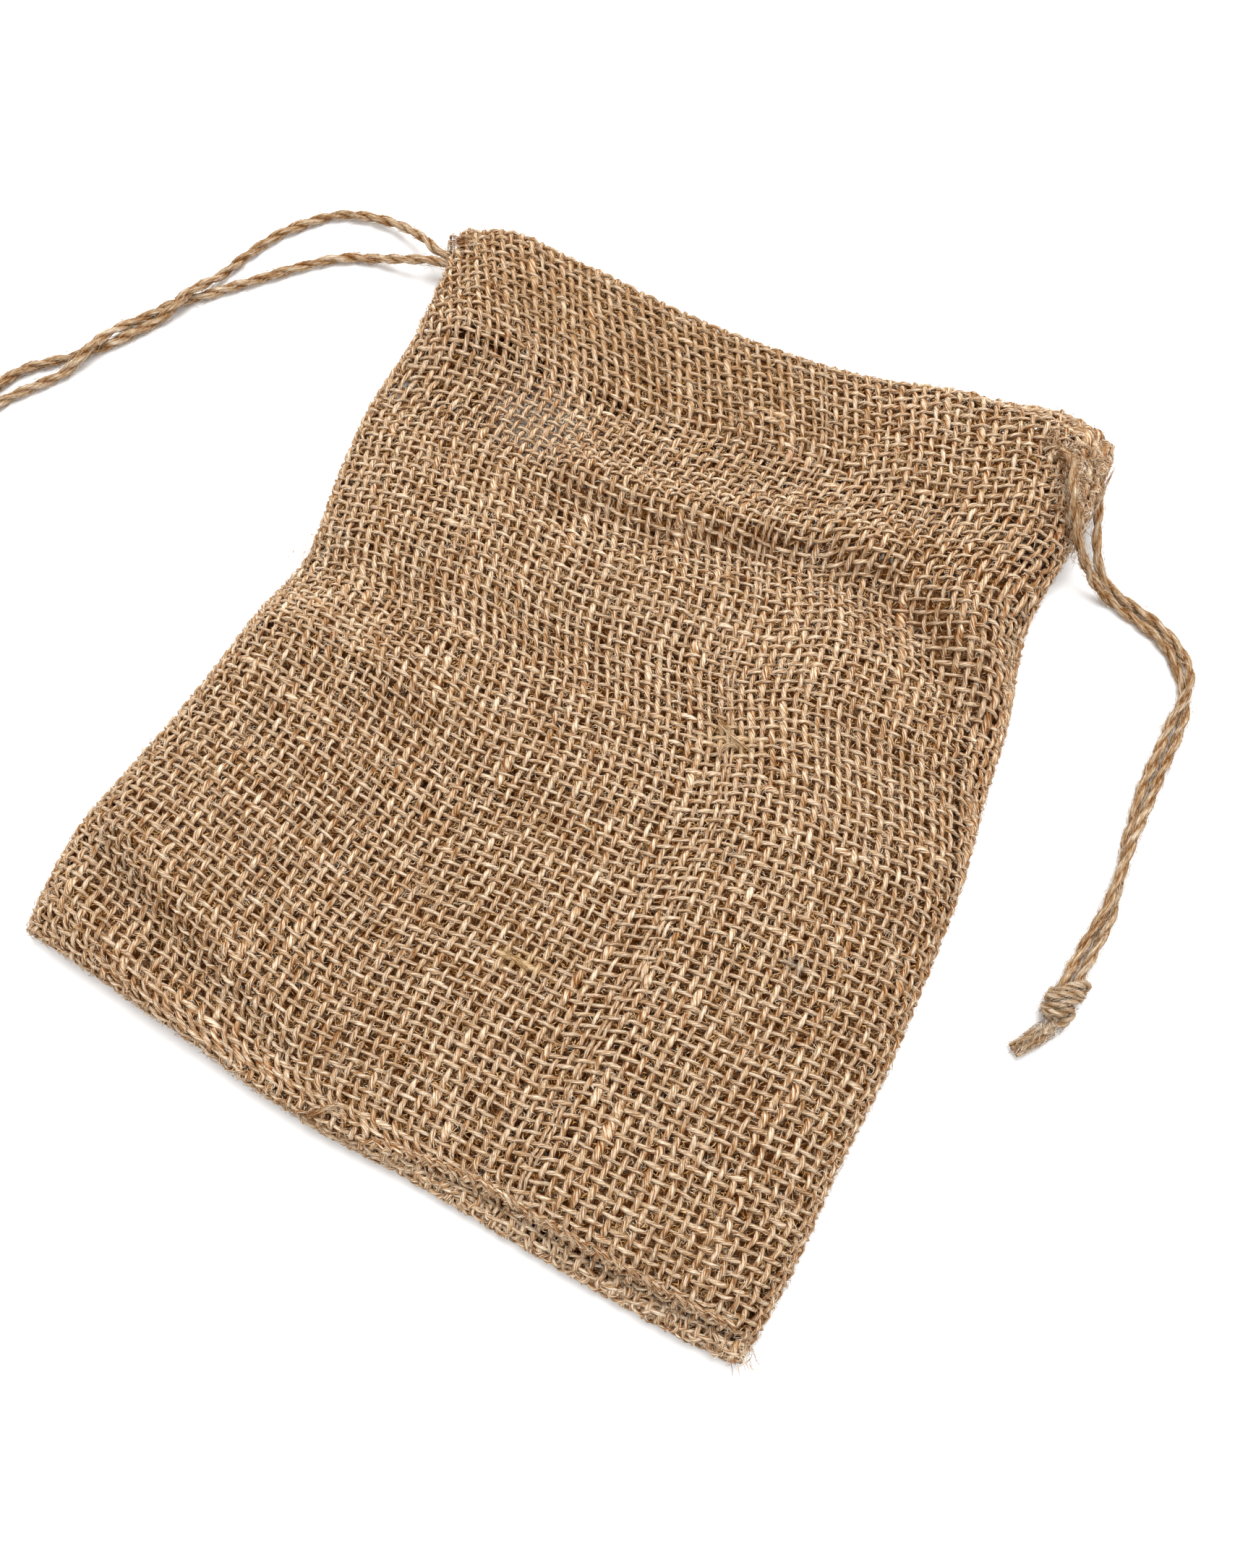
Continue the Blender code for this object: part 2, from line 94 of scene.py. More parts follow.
# Thick soft places in a yarn: kind, X, Y, half length, share added to the width
SLUBS = (
    ("weft", 2.5, 62.5, 3.2, 1.0),
    ("weft", 19.3, 55.4, 1.6, 1.2),
    ("warp", -44.5, -2.5, 3.6, 0.9),
    ("weft", 9.0, -44.4, 3.0, 0.8),
    ("warp", 9.6, 57.5, 1.8, 0.7),
    ("warp", 24.6, 8.5, 3.2, 0.8),
    ("weft", 47.0, 76.0, 2.6, 0.9),
    ("warp", 33.0, -60.0, 2.6, 1.0),
    ("weft", -38.0, 18.0, 2.6, 0.7),
    ("weft", 40.0, -12.0, 2.6, 0.7),
    ("warp", -17.8, 30.0, 2.2, 0.8),
)
# Loose fibres that lie on the cloth as a tuft: name, number of fibres, half width at the
# start and at the end, and its run as places (X, Y, height above the cloth)
TUFTS = (
    (
        "left_stub", 34, 1.1, 0.8,
        ((-60.0, 68.6, 0.1), (-63.0, 67.9, 0.1), (-66.0, 67.4, 0.1), (-68.0, 67.0, -0.3)),
    ),
    ("golden_tuft", 15, 0.25, 0.4, ((18.2, 6.5, 0.1), (20.8, 5.2, 0.3), (24.0, 3.6, 0.3), (27.0, 2.6, 0.0))),
    (
        "whorl", 16, 0.25, 0.25,
        ((22.9, -1.2, 0.1), (22.2, 0.4, 0.5), (22.4, 1.8, 0.7), (23.6, 2.5, 0.6), (24.4, 1.6, 0.2)),
    ),
    ("yellow_tuft", 12, 0.3, 0.5, ((5.5, -43.8, 0.1), (8.0, -44.3, 0.3), (11.0, -45.2, 0.0))),
    ("seam_tuft", 24, 0.4, 0.8, ((-5.0, -76.0, 0.1), (-7.5, -78.6, 0.4), (-10.0, -81.0, 0.2))),
)
# Patches of short curled fibres: name, number, middle X and Y, half sizes, main direction
# in degrees, height above the cloth
FRIZZ = (
    ("casing_end", 420, 56.6, 70.5, 4.4, 5.6, -65.0, 0.75),
    ("twine_mouth", 110, 52.4, 73.4, 1.9, 2.6, -65.0, 2.4),
    ("casing_fold", 160, 52.0, 76.6, 6.0, 1.6, 8.0, 0.8),
    ("casing_end_top", 110, 57.5, 77.0, 3.6, 2.6, 10.0, 0.6),
    ("casing_end_low", 80, 59.5, 64.6, 2.4, 2.6, -50.0, 0.5),
    ("left_casing_end", 50, -62.5, 67.5, 3.4, 3.6, 170.0, 0.5),
    ("left_notch", 50, -59.0, 3.0, 2.4, 3.4, 160.0, 0.4),
    ("seam_corner", 130, 63.6, -79.6, 3.2, 2.4, -60.0, 0.5),
)

# Loose fibres on the cloth: number, between which warps and rows, length, least and
# greatest height of their start, middle and end, tone
PANEL = (-1.0, FRONT_WARPS + 1.0)
LOW_LIFTS = ((-0.1, 0.5), (0.5, 0.9), (-0.1, 0.8))
EDGE_LIFTS = ((0.0, 0.5), (0.5, 0.9), (0.3, 1.2))
LOOSE_ON_FRONT = ((28000, PANEL, (0.5, MOUTH_ROW + 1.0), 1.4, LOW_LIFTS, 0.10),)
LOOSE_ON_EDGES = (
    (700, (-SIDE_WARPS, 0.5), (1.0, MOUTH_ROW), 1.3, EDGE_LIFTS, 0.0),
    (700, (FRONT_WARPS - 0.5, BACK_START), (1.0, MOUTH_ROW), 1.3, EDGE_LIFTS, 0.0),
    (900, (0.0, RING), (0.0, 3.0), 1.3, EDGE_LIFTS, 0.0),
    (900, (0.0, RING), (MOUTH_ROW - 1.0, MOUTH_ROW + 2.0), 1.3, EDGE_LIFTS, 0.0),
)
# Bent fibres across the openings: number, between which warps and rows, length, least
# and greatest height, tone; the lower tones in the casing and on the back are painted shade
IN_FRONT_GAPS = (
    (26200, PANEL, (0.5, MOUTH_ROW), 1.6, (-0.6, 0.3), 0.06),
    (3000, PANEL, (MOUTH_ROW - 11.0, MOUTH_ROW + 1.0), 1.6, (-1.2, 0.0), -0.10),
    (1500, PANEL, (MOUTH_ROW, INNER_START + 2.0), 1.5, (-0.4, 0.2), -0.05),
)
IN_BACK_GAPS = ((6500, (BACK_START, BACK_END), (0.5, MOUTH_ROW), 1.6, (-0.7, 0.1), -0.12),)
# Thinnest and thickest fibre of each kind, as radii
LOOSE_RADII = (0.028, 0.055)
GAP_RADII = (0.06, 0.125)
TUFT_RADII = (0.035, 0.07)
FRIZZ_RADII = (0.03, 0.065)
FUZZ_RADII = (0.022, 0.045)
FRAY_RADII = (0.03, 0.07)
FIBRE_FLOOR = 0.12         # lowest place a fibre's middle goes to
FIBRE_SINK = 0.3           # tufts and frizz lie so far between the yarns
FIBRE_TAPER = 0.6          # thickness near a fibre's ends, as a share of its middle's
FIBRE_TONE_STRAY = 0.17
LENGTH_STRAY = 0.4         # how much the lengths of loose fibres differ

# ------------------------------------------------------------------ sack
SIDE_HEIGHT = 5.0
SIDE_BULGE = 2.3
MOUTH_SIDE_RISE = 4.6
MOUTH_RISE_FROM = 44.0
MOUTH_RISE_LENGTH = 28.0
PUFF = 7.0
LOWEST = 5.2
LOWEST_EASE = 1.0
SIDE_RISE_WIDTH = 12.0
MOUTH_RISE_WIDTH = 6.0
SEAM_RISE_WIDTH = 8.0
SEAM_ROLL_WIDTH = 4.2      # the front edge rolls more tightly where the lip shows
SEAM_TURN = 2.0            # reach of the cloth's turn at the bottom seam
SEAM_LIP = 3.4
SEAM_LIP_START = (-6.0, 22.0)
SEAM_LIP_HEIGHT = 3.9
SEAM_GROOVE = (0.6, 0.9)   # depth and half width of the groove above the lip
LIP_STEP = 2.0             # distance between the loops over the lip
LIP_STAND = 0.2            # their height above its cloth
LIP_FLOOR = 0.5            # lowest place of their middles
LIP_FACES = (-20.0, 270.0)     # a loop starts and ends here, in degrees round the lip
LIP_YARNS = (60.0, 105.0, 150.0, 195.0)   # where the yarns along it lie
LIP_WEAVES = 4.0           # waves of a loop to a radian, to pass over and under them
LIP_CURLS = 90             # loose curls of yarn on it
BRAID_STEP = 1.7           # distance between the strokes above it
BRAID_RISE = 1.5           # the braid's middle lies so far above the lip
BRAID_WIDTHS = (1.3, 2.1)
CASING_STEP = 0.9
CASING_EASE = 2.4

# Left and right sides: (Y, X)
LEFT_SIDE = (
    (-78.0, -60.5), (-76.0, -64.6), (-72.0, -66.8), (-58.0, -68.1), (-46.0, -66.4),
    (-28.0, -63.6), (-11.0, -61.9), (0.0, -59.6), (6.0, -60.2), (19.0, -63.0),
    (33.0, -65.0), (48.0, -64.9), (58.0, -65.1), (70.0, -66.0), (84.0, -66.6),
)
RIGHT_SIDE = (
    (-82.2, 64.6), (-79.0, 66.6), (-64.0, 67.8), (-51.0, 67.7), (-34.0, 68.6),
    (-17.0, 68.3), (0.0, 67.5), (15.0, 65.3), (29.0, 63.7), (43.0, 60.6),
    (52.0, 59.9), (61.0, 60.8), (71.0, 61.2), (84.0, 61.0),
)
# Bottom seam and the two mouth edges: (X, Y)
BOTTOM_SEAM = (
    (-66.0, -76.4), (-55.0, -77.2), (-39.0, -79.0), (-22.0, -81.1), (-8.0, -81.4),
    (9.0, -81.3), (22.0, -81.8), (39.0, -82.5), (55.0, -82.7), (67.0, -82.4),
)
FRONT_MOUTH = (
    (-64.0, 71.0), (-57.0, 73.4), (-47.0, 74.6), (-37.0, 75.4), (-21.0, 74.8),
    (-7.0, 75.2), (11.0, 77.2), (21.0, 79.4), (32.0, 82.2), (41.0, 82.2),
    (54.0, 83.4), (60.0, 83.2),
)
BACK_MOUTH = (
    (-64.0, 77.4), (-50.0, 79.2), (-36.0, 77.8), (-10.0, 76.8), (12.0, 78.4),
    (32.0, 80.4), (60.0, 81.0),
)
# Stitch line at the foot of the casing: (X, Y)
CASING_LINE = (
    (-62.0, 50.0), (-44.0, 51.8), (-36.0, 51.4), (-18.0, 55.2), (4.0, 58.2),
    (16.0, 60.2), (42.0, 63.2), (60.0, 65.0),
)
# Soft ridges (+) and troughs (-) of the front panel:
# name, height, half width, line through the fold as (X, Y) points
FOLDS = (
    ("body_swell", 4.6, 20.0, ((44.0, -47.0), (41.0, 16.0))),
    ("right_mouth_swell", 5.6, 13.0, ((49.0, 80.0), (54.0, 45.0))),
    ("left_mouth_swell", 4.4, 13.0, ((-57.0, 74.0), (-54.0, 56.0))),
    ("left_upper_lobe", 3.4, 15.0, ((-54.0, -14.0), (-46.0, -8.0))),
    ("left_lower_lobe", 3.0, 15.0, ((-56.0, -48.0), (-48.0, -44.0))),
    ("seam_swell", 3.2, 9.0, ((30.0, -70.0), (58.0, -71.0))),
    ("centre_hollow", -0.6, 14.0, ((-26.0, -32.0), (-5.0, -27.0))),
    ("casing_hollow", -1.8, 12.0, ((-36.0, 46.0), (-15.0, 52.0))),
    ("left_hollow", -2.6, 6.0, ((-61.0, 37.0), (-51.0, 45.0))),
    ("lobe_crease", -1.8, 4.0, ((-47.0, -30.0), (-46.0, -18.0), (-44.0, -10.0))),
    ("tension_ridge", 1.3, 3.6, ((-36.0, -9.5), (-20.0, -11.5), (10.0, -14.5))),
    (
        "side_trough", -2.3, 6.0,
        ((-60.0, 2.0), (-40.0, 2.0), (-22.0, 5.5), (-9.0, 8.5), (5.0, 10.0)),
    ),
    (
        "pleat_crest", 3.2, 4.4,
        ((-24.0, 37.6), (-6.0, 38.6), (8.0, 42.2), (22.0, 46.6), (33.0, 48.0)),
    ),
    (
        "pleat_crease", -2.6, 3.4,
        ((-27.0, 30.6), (-14.0, 30.4), (-5.9, 31.4), (7.3, 34.9), (15.0, 38.0), (22.8, 39.8), (31.6, 39.4)),
    ),
    (
        "right_valley", -3.6, 4.2,
        ((31.6, 39.6), (41.5, 36.4), (49.4, 30.8), (57.0, 24.6)),
    ),
    ("right_roll", 2.2, 5.0, ((44.0, 44.6), (53.0, 38.4), (59.0, 32.5))),
    (
        "corner_crease", -2.9, 3.8,
        ((-64.0, -58.0), (-55.0, -62.5), (-45.0, -66.4), (-37.7, -69.0), (-28.0, -72.0), (-19.3, -75.0)),
    ),
    (
        "corner_roll", 2.0, 4.8,
        ((-60.0, -52.5), (-50.0, -57.5), (-38.0, -61.8), (-26.0, -66.0), (-15.0, -69.6)),
    ),
    ("corner_ridge", 1.6, 4.2, ((-61.0, -68.5), (-48.0, -72.5), (-36.0, -75.5))),
    ("casing_end_valley", -1.5, 2.0, ((48.0, 75.5), (51.0, 70.0), (54.0, 64.0))),
)

# Bands where the warps lean: name, lean towards +X on the way down at the left, in the
# middle and at the right in degrees, the band's foot and head there measured from the
# stitch line of the casing, and how far its foot and head lie lower at the right
LEAN_PLACES = (-50.0, 0.0, 48.0)
LEAN_SOFTNESS = (-2.0, 0.0, 2.0)   # a band's ends are spread over this
DRIFT_REACH = 62.0         # beyond this X, leans and bends change no more
LEANS = (
    ("casing", (29.0, 27.0, 10.0), 1.0, 40.0, 4.0),
    ("under_casing", (-4.0, -14.0, -12.0), -18.0, -3.0, 2.0),
    ("pleat", (7.0, 14.0, 11.0), -29.0, -18.0, 4.0),
    ("belly", (17.0, 18.0, 17.0), -66.0, -43.0, 6.0),
    ("lower", (6.0, 1.0, 3.0), -86.0, -66.0, 6.0),
)
# Bends of the wefts: name, climb towards +X in degrees, from X to X, between Y and Y
WEFT_ANCHOR = 10.0         # X at which every weft is at its own height
WEFT_EASE = 8.0            # a bend fades out over this height
WEFT_BENDS = (
    ("beside_the_doubled_warp", 17.0, 20.0, 29.0, -95.0, 95.0),
    ("middle", 5.0, -12.0, -1.0, -95.0, 95.0),
    ("right", 3.0, 32.0, 60.0, -95.0, 95.0),
    ("right_of_the_casing", 8.0, 32.0, 60.0, 48.0, 95.0),
    ("left_lower_lobe", -4.0, -62.0, -16.0, -95.0, -9.0),
    ("left_above_the_notch", 5.0, -62.0, -28.0, -6.0, 40.0),
)

# ------------------------------------------------------------------ twine
TWINE_DIAMETER = 2.0
PAIR_SNUG = 0.78           # two strands of a pair lie so much closer than their solids
PLY_RADIUS = 0.60
PLY_SPREAD = 0.37          # distance of a ply's centre from the twine's
TWINE_INSIDE = 5.0         # length of a strand that shows through inside the casing end
TWINE_TURN = 9.0
TWINE_STEP = 0.55
REST = 1.1                 # height of a strand's middle where it lies down
PLY_HEIGHT = 0.92          # height of a ply, as a share of its width
# Chance waves along a ply, as steps and amounts: of its width, and of its tone
PLY_WIDTH_WAVES = ((4.0, 0.07), (1.3, 0.05))
PLY_TONE_WAVES = ((6.0, 0.05),)
PLY_TONE_STRAY = 0.03
# Fuzz: fibres a millimetre, their length, and how far they stand away
TWINE_FUZZ = ((11.0, 0.9, 0.16), (2.2, 1.5, 0.5))
WRAP_FUZZ = (18.0, 0.9, 0.18)
WRAP_HAIRS = (0.15, 2.6, 0.9)
TAIL_FUZZ = (26.0, 0.9, 0.2)
FUZZ_TONE = 0.08

# A pair of strands runs from the casing to its knot. Each row is a place midway between
# the two: X, Y, half their distance, turn of the pair in degrees, and the height of the
# left and of the right strand before a turn lifts one of them over the other.
TWINE_PAIRS = {
    ("twine_left_lower", "twine_left_upper"): (
        (-66.4, 66.8, 1.2, 0, 4.8, 4.9),
        (-69.6, 66.5, 1.45, 0, 4.6, 4.9),
        (-73.8, 66.9, 3.4, 0, 3.6, 4.2),
        (-82.0, 66.9, 5.5, 0, 1.3, 1.9),
        (-89.6, 64.3, 6.4, 0, REST, REST),
        (-96.2, 57.7, 5.6, 0, REST, REST),
        (-100.4, 51.3, 4.0, 0, REST, REST),
        (-103.3, 46.2, 2.2, -5, REST, REST),
        (-105.6, 42.2, 1.2, -45, REST, REST),
        (-107.6, 39.2, 1.2, -90, REST, REST),
        (-109.3, 36.2, 1.2, -140, REST, REST),
        (-111.4, 32.8, 1.2, -180, REST, REST),
        (-113.4, 29.4, 1.2, -190, REST, REST),
        (-115.1, 26.3, 1.2, -220, REST, REST),
        (-116.4, 23.6, 1.2, -255, REST, REST),
        (-117.8, 21.0, 1.2, -290, REST, REST),
        (-119.4, 18.3, 1.3, -335, REST, REST),
        (-121.9, 14.8, 2.2, -360, REST, REST),
        (-125.6, 10.4, 2.8, -360, REST, REST),
        (-128.3, 5.2, 2.0, -360, REST, REST),
        (-129.6, 0.2, 1.4, -360, 1.2, 1.2),
        (-130.3, -4.8, 1.2, -360, 2.2, 2.2),
    ),
    ("twine_right_back", "twine_right_front"): (
        (57.6, 73.4, 5.0, 0, 6.0, 14.9),
        (59.6, 69.0, 4.7, 0, 5.0, 14.0),
        (62.6, 64.7, 3.8, 0, 3.6, 10.0),
        (66.4, 62.2, 2.2, 0, 2.0, 4.4),
        (70.2, 60.9, 1.35, 0, 1.1, 1.6),
        (73.8, 60.0, 1.2, 0, REST, REST),
        (77.8, 59.0, 1.3, 0, REST, REST),
        (81.7, 57.6, 1.2, 0, REST, REST),
        (84.8, 55.5, 1.2, 5, REST, REST),
        (87.1, 52.4, 1.2, 45, REST, REST),
        (88.4, 49.2, 1.2, 90, REST, REST),
        (89.0, 46.4, 1.2, 140, REST, REST),
        (89.1, 43.1, 1.2, 180, REST, REST),
        (89.1, 38.4, 1.2, 180, REST, REST),
        (88.9, 33.3, 1.2, 185, REST, REST),
        (88.9, 28.2, 1.2, 200, REST, REST),
        (89.1, 23.7, 1.2, 245, REST, REST),
        (89.2, 19.5, 1.2, 262, REST, REST),
        (89.7, 15.5, 1.2, 282, REST, REST),
        (90.0, 11.4, 1.2, 300, REST, REST),
        (90.4, 7.1, 1.2, 322, REST, REST),
        (90.1, 3.2, 1.2, 345, REST, REST),
        (89.7, -1.0, 1.2, 360, 1.2, 1.2),
        (89.1, -4.9, 1.2, 360, 2.2, 2.2),
    ),
}
KNOTS = {                  # node: X and Y of the knot's mouth
    "knot_left": (-130.3, -5.5),
    "knot_right": (89.0, -5.6),
}
# Axis and size of a knot with its tail: X, Y, Z, half width, half height
KNOT_AXIS = (
    (0.0, 0.0, 2.2, 2.1, 1.5),
    (0.0, -0.9, 2.6, 2.6, 2.3),
    (-0.1, -2.2, 2.9, 3.0, 2.8),
    (-0.3, -3.9, 3.0, 3.1, 2.9),
    (-0.3, -5.5, 2.9, 3.0, 2.8),
    (-0.1, -6.9, 2.6, 2.6, 2.4),
    (-0.1, -8.0, 2.1, 1.9, 1.8),
    (-0.6, -9.4, 1.8, 1.7, 1.5),
    (-1.6, -11.2, 1.6, 1.6, 1.4),
    (-3.0, -13.4, 1.5, 1.5, 1.3),
    (-4.4, -15.5, 1.4, 1.2, 1.1),
)
# Which way a strand runs on inside the casing's end
CASING_INWARD = {
    "twine_left_lower": (1.0, 0.1, 0.05),
    "twine_left_upper": (1.0, 0.1, 0.05),
    "twine_right_back": (-1.0, 0.2, 0.0),
    "twine_right_front": (-0.8, 0.5, -0.9),
}
KNOT_ENTRY = ((1.5, 0.95), (3.6, 0.8), (5.4, 0.7))   # rows a strand runs through, and how far aside
KNOT_TONE = 0.08           # how much paler the rubbed knots are
KNOT_SNUG = 0.88           # the wraps lie so much nearer to its axis
KNOT_WRAPS = 4.4           # turns of twine round the knot
KNOT_START = 2.4           # where the first one starts, in radians
KNOT_SLANT = (2.3, 1.1)    # how far one side of its first and last wrap is pushed down
# Between which rows of the axis the wraps, the lead under them and the tail lie, and the
# length of a turn, the radius and the spread of their plies
WRAP_ROWS, WRAP_PLIES = (1.3, 5.0), (5.0, 0.46, 0.30)
LEAD_ROWS, LEAD_PLIES = (3.4, 7.6), (5.0, 0.46, 0.34)
LEAD_FACES = (215.0, 110.0)   # a lead goes from here to here round the knot, in degrees
TAIL_ROWS, TAIL_PLIES = (4.4, 9.8), (6.5, 0.50, 0.36)
TAIL_SPREAD = 0.72         # distance of a tail's end from the axis
TAIL_START, TAIL_TURN = 0.5, 2.6   # the two ends wind round each other, in radians
FRAYED = 150               # loose fibres of the cut tail
# They start, reach and end between these rows of the axis
FRAYED_STARTS, FRAYED_LENGTHS, FRAYED_ENDS = (5.6, 9.3), (0.4, 1.1), (9.7, 10.2)
FRAYED_BULGES = (0.70, 0.92, 1.0, 1.04, 1.0)   # how far they stand out, from start to end


# ================================================================== small maths
def smooth_step(value):
    value = np.clip(value, 0.0, 1.0)
    return value * value * (3.0 - 2.0 * value)


def mix(first, second, share):
    return first + (second - first) * share


def unit(vectors):
    return vectors / np.maximum(np.linalg.norm(vectors, axis=-1, keepdims=True), 1e-9)


def run_along(line):
    """Direction of a line at each of its points."""
    return unit(np.gradient(line, axis=0))


def reach_along(line):
    """Length of a line up to each of its points."""
    return np.concatenate(([0.0], np.cumsum(np.linalg.norm(np.diff(line, axis=0), axis=1))))


def square_to(run, out):
    """The direction nearest to out that is square to run."""
    return unit(out - run * np.sum(out * run, axis=1, keepdims=True))


def level_and_upward(run):
    """Two directions square to run, of which the first is level."""
    level = unit(np.cross(run, (0.0, 0.0, 1.0)))
    return level, np.cross(level, run)


def turned(angle, first, second):
    """Directions at an angle from the first towards the second."""
    return np.cos(angle)[:, None] * first + np.sin(angle)[:, None] * second


def spaced(start, end, per_unit):
    return np.linspace(start, end, round((end - start) * per_unit) + 1)


def curve_through(points, parts):
    """A Catmull-Rom curve through the points, with so many parts between two of them."""
    knots = [np.array(point, float) for point in points]
    knots = [2 * knots[0] - knots[1]] + knots + [2 * knots[-1] - knots[-2]]
    line = []
    for before, start, end, after in zip(knots, knots[1:], knots[2:], knots[3:]):
        for part in range(parts):
            u = part / parts
            line.append(
                0.5 * (
                    2 * start
                    + (end - before) * u
                    + (2 * before - 5 * start + 4 * end - after) * u ** 2
                    + (3 * start - before - 3 * end + after) * u ** 3
                )
            )
    line.append(knots[-2])
    return np.array(line)


def outline_reader(table):
    line = curve_through(table, 8)
    return lambda value: np.interp(value, line[:, 0], line[:, 1])


def distance_to_line(x, y, points):
    """Distance from places to a chain of straight pieces."""
    nearest = np.full(np.shape(x), np.inf)
    for (x0, y0), (x1, y1) in zip(points, points[1:]):
        run, rise = x1 - x0, y1 - y0
        share = np.clip(((x - x0) * run + (y - y0) * rise) / (run * run + rise * rise), 0.0, 1.0)
        nearest = np.minimum(nearest, np.hypot(x - x0 - share * run, y - y0 - share * rise))
    return nearest


def rounded_rise(distance, width):
    """0 at an edge, rising like a quarter circle to 1 at the given width."""
    share = np.clip(distance / width, 0.0, 1.0)
    return np.sqrt(1.0 - (1.0 - share) ** 2)


def wander(places, waves):
    """Smooth chance curves read at the places, each with a new value every step."""
    total = 0.0
    for step, amount in waves:
        start = np.min(places) - step
        count = int((np.max(places) - start) / step) + 3
        values = random.normal(0.0, amount, count)
        share = (places - start) / step
        index = share.astype(int)
        total = total + mix(values[index], values[index + 1], smooth_step(share - index))
    return total


left_side = outline_reader(LEFT_SIDE)
right_side = outline_reader(RIGHT_SIDE)
bottom_seam = outline_reader(BOTTOM_SEAM)
front_mouth = outline_reader(FRONT_MOUTH)
back_mouth = outline_reader(BACK_MOUTH)
casing_line = outline_reader(CASING_LINE)


# ================================================================== mesh makers
def add_object(name, data):
    made = bpy.data.objects.new(name, data)
    bpy.context.scene.collection.objects.link(made)
    return made


def dress(piece, node=None):
    """Puts a piece on the sack, in the place of a node if it has one."""
    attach(piece, "root")
    if node:
        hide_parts(node)


class Bundle:
    """Collects strands or fibres and joins them as one mesh."""

    def __init__(self):
        self.points, self.faces, self.around, self.tones = [], [], [], []
        self.count = 0

    def add_faces(self, *corners):
        """Faces given corner by corner, each corner as an array of point numbers."""
        self.faces += np.stack(np.broadcast_arrays(*corners), axis=-1).reshape(-1, len(corners)).tolist()

    def make(self, name, material):
        data = bpy.data.meshes.new(name)
        data.from_pydata((np.concatenate(self.points) * MM).tolist(), [], self.faces)
        if self.around:
            layer = data.uv_layers.new(name="lay")
            layer.data.foreach_set("uv", np.concatenate(self.around).ravel())
        tone = data.attributes.new("tone", "FLOAT", "POINT")
        tone.data.foreach_set("value", np.concatenate(self.tones))
        data.materials.append(material)
        data.shade_smooth()
        return add_object(name, data)


class Strands(Bundle):
    """Round strands, as closed tubes with so many sides."""

    PATTERN_STARTS = 50.0  # a strand's pattern of fibres starts anywhere in this length

    def __init__(self, sides):
        super().__init__()
        self.sides = sides

    def add(self, line, up, half_width, half_thick, tone):
        """A strand along a line; the sizes may change along it. With five sides one of its
        edges points up, and with four or eight one points across.
        """
        count, sides = len(line), self.sides
        run = run_along(line)
        up = square_to(run, up)
        across = np.cross(up, run)
        angle = 2 * math.pi * (np.arange(sides) + 0.25 * (sides % 2)) / sides
        wide = np.broadcast_to(half_width, count)[:, None, None]
        thick = np.broadcast_to(half_thick, count)[:, None, None]
        rings = (
            line[:, None]
            + wide * np.cos(angle)[None, :, None] * across[:, None]
            + thick * np.sin(angle)[None, :, None] * up[:, None]
        )
        self.points.append(rings.reshape(-1, 3))
        first = self.count + sides * np.arange(count - 1)[:, None]
        side = np.arange(sides)
        after = np.roll(side, -1)
        self.add_faces(first + side, first + after, first + sides + after, first + sides + side)
        self.add_faces(*(self.count + side[::-1]))
        self.add_faces(*(self.count + sides * (count - 1) + side))

        reach = reach_along(line) + random.uniform(0.0, self.PATTERN_STARTS)
        low, high = reach[:-1, None] * np.ones(sides), reach[1:, None] * np.ones(sides)
        left = np.ones((count - 1, 1)) * side / sides
        right = left + 1.0 / sides
        place = np.stack((left, low, right, low, right, high, left, high), axis=2)
        self.around.append(place.reshape(-1, 2))
        for end, order in ((reach[0], side[::-1]), (reach[-1], side)):
            self.around.append(np.column_stack((order / sides, np.full(sides, end))))
        self.tones.append(np.repeat(np.broadcast_to(tone, count), sides))
        self.count += count * sides


class Fibres(Bundle):
    """Fine fibres, as thin closed spindles with three sides."""

    SIDES = 3

    def add(self, lines, radii, tone=0.0):
        """Fibres as an array of equally long lines; each starts and ends in a point."""
        lines[..., 2] = np.maximum(lines[..., 2], FIBRE_FLOOR)
        count, rings, sides = len(lines), lines.shape[1] - 2, self.SIDES
        radii = random.uniform(*radii, count)
        run = unit(np.gradient(lines, axis=1)[:, 1:-1])
        level = unit(np.cross(run, unit(random.normal(size=(count, 1, 3)))))
        other = np.cross(run, level)
        angle = 2 * math.pi * np.arange(sides)[:, None] / sides
        away = np.cos(angle) * level[:, :, None] + np.sin(angle) * other[:, :, None]
        taper = mix(FIBRE_TAPER, 1.0, np.sin(math.pi * (np.arange(rings) + 1) / (rings + 1)))
        body = lines[:, 1:-1, None] + radii[:, None, None, None] * taper[:, None, None] * away
        spindles = np.concatenate((lines[:, :1], body.reshape(count, -1, 3), lines[:, -1:]), axis=1)
        self.points.append(spindles.reshape(-1, 3))
        size = sides * rings + 2
        first = self.count + size * np.arange(count)[:, None]
        side = 1 + np.arange(sides)
        after = np.roll(side, -1)
        self.add_faces(first, first + after, first + side)
        for low in range(0, sides * (rings - 1), sides):
            ring = first + low
            self.add_faces(ring + side, ring + after, ring + sides + after, ring + sides + side)
        last = first + sides * (rings - 1)
        self.add_faces(last + side, last + after, first + size - 1)
        self.tones.append(np.repeat(tone + random.normal(0.0, FIBRE_TONE_STRAY, count), size))
        self.count += size * count
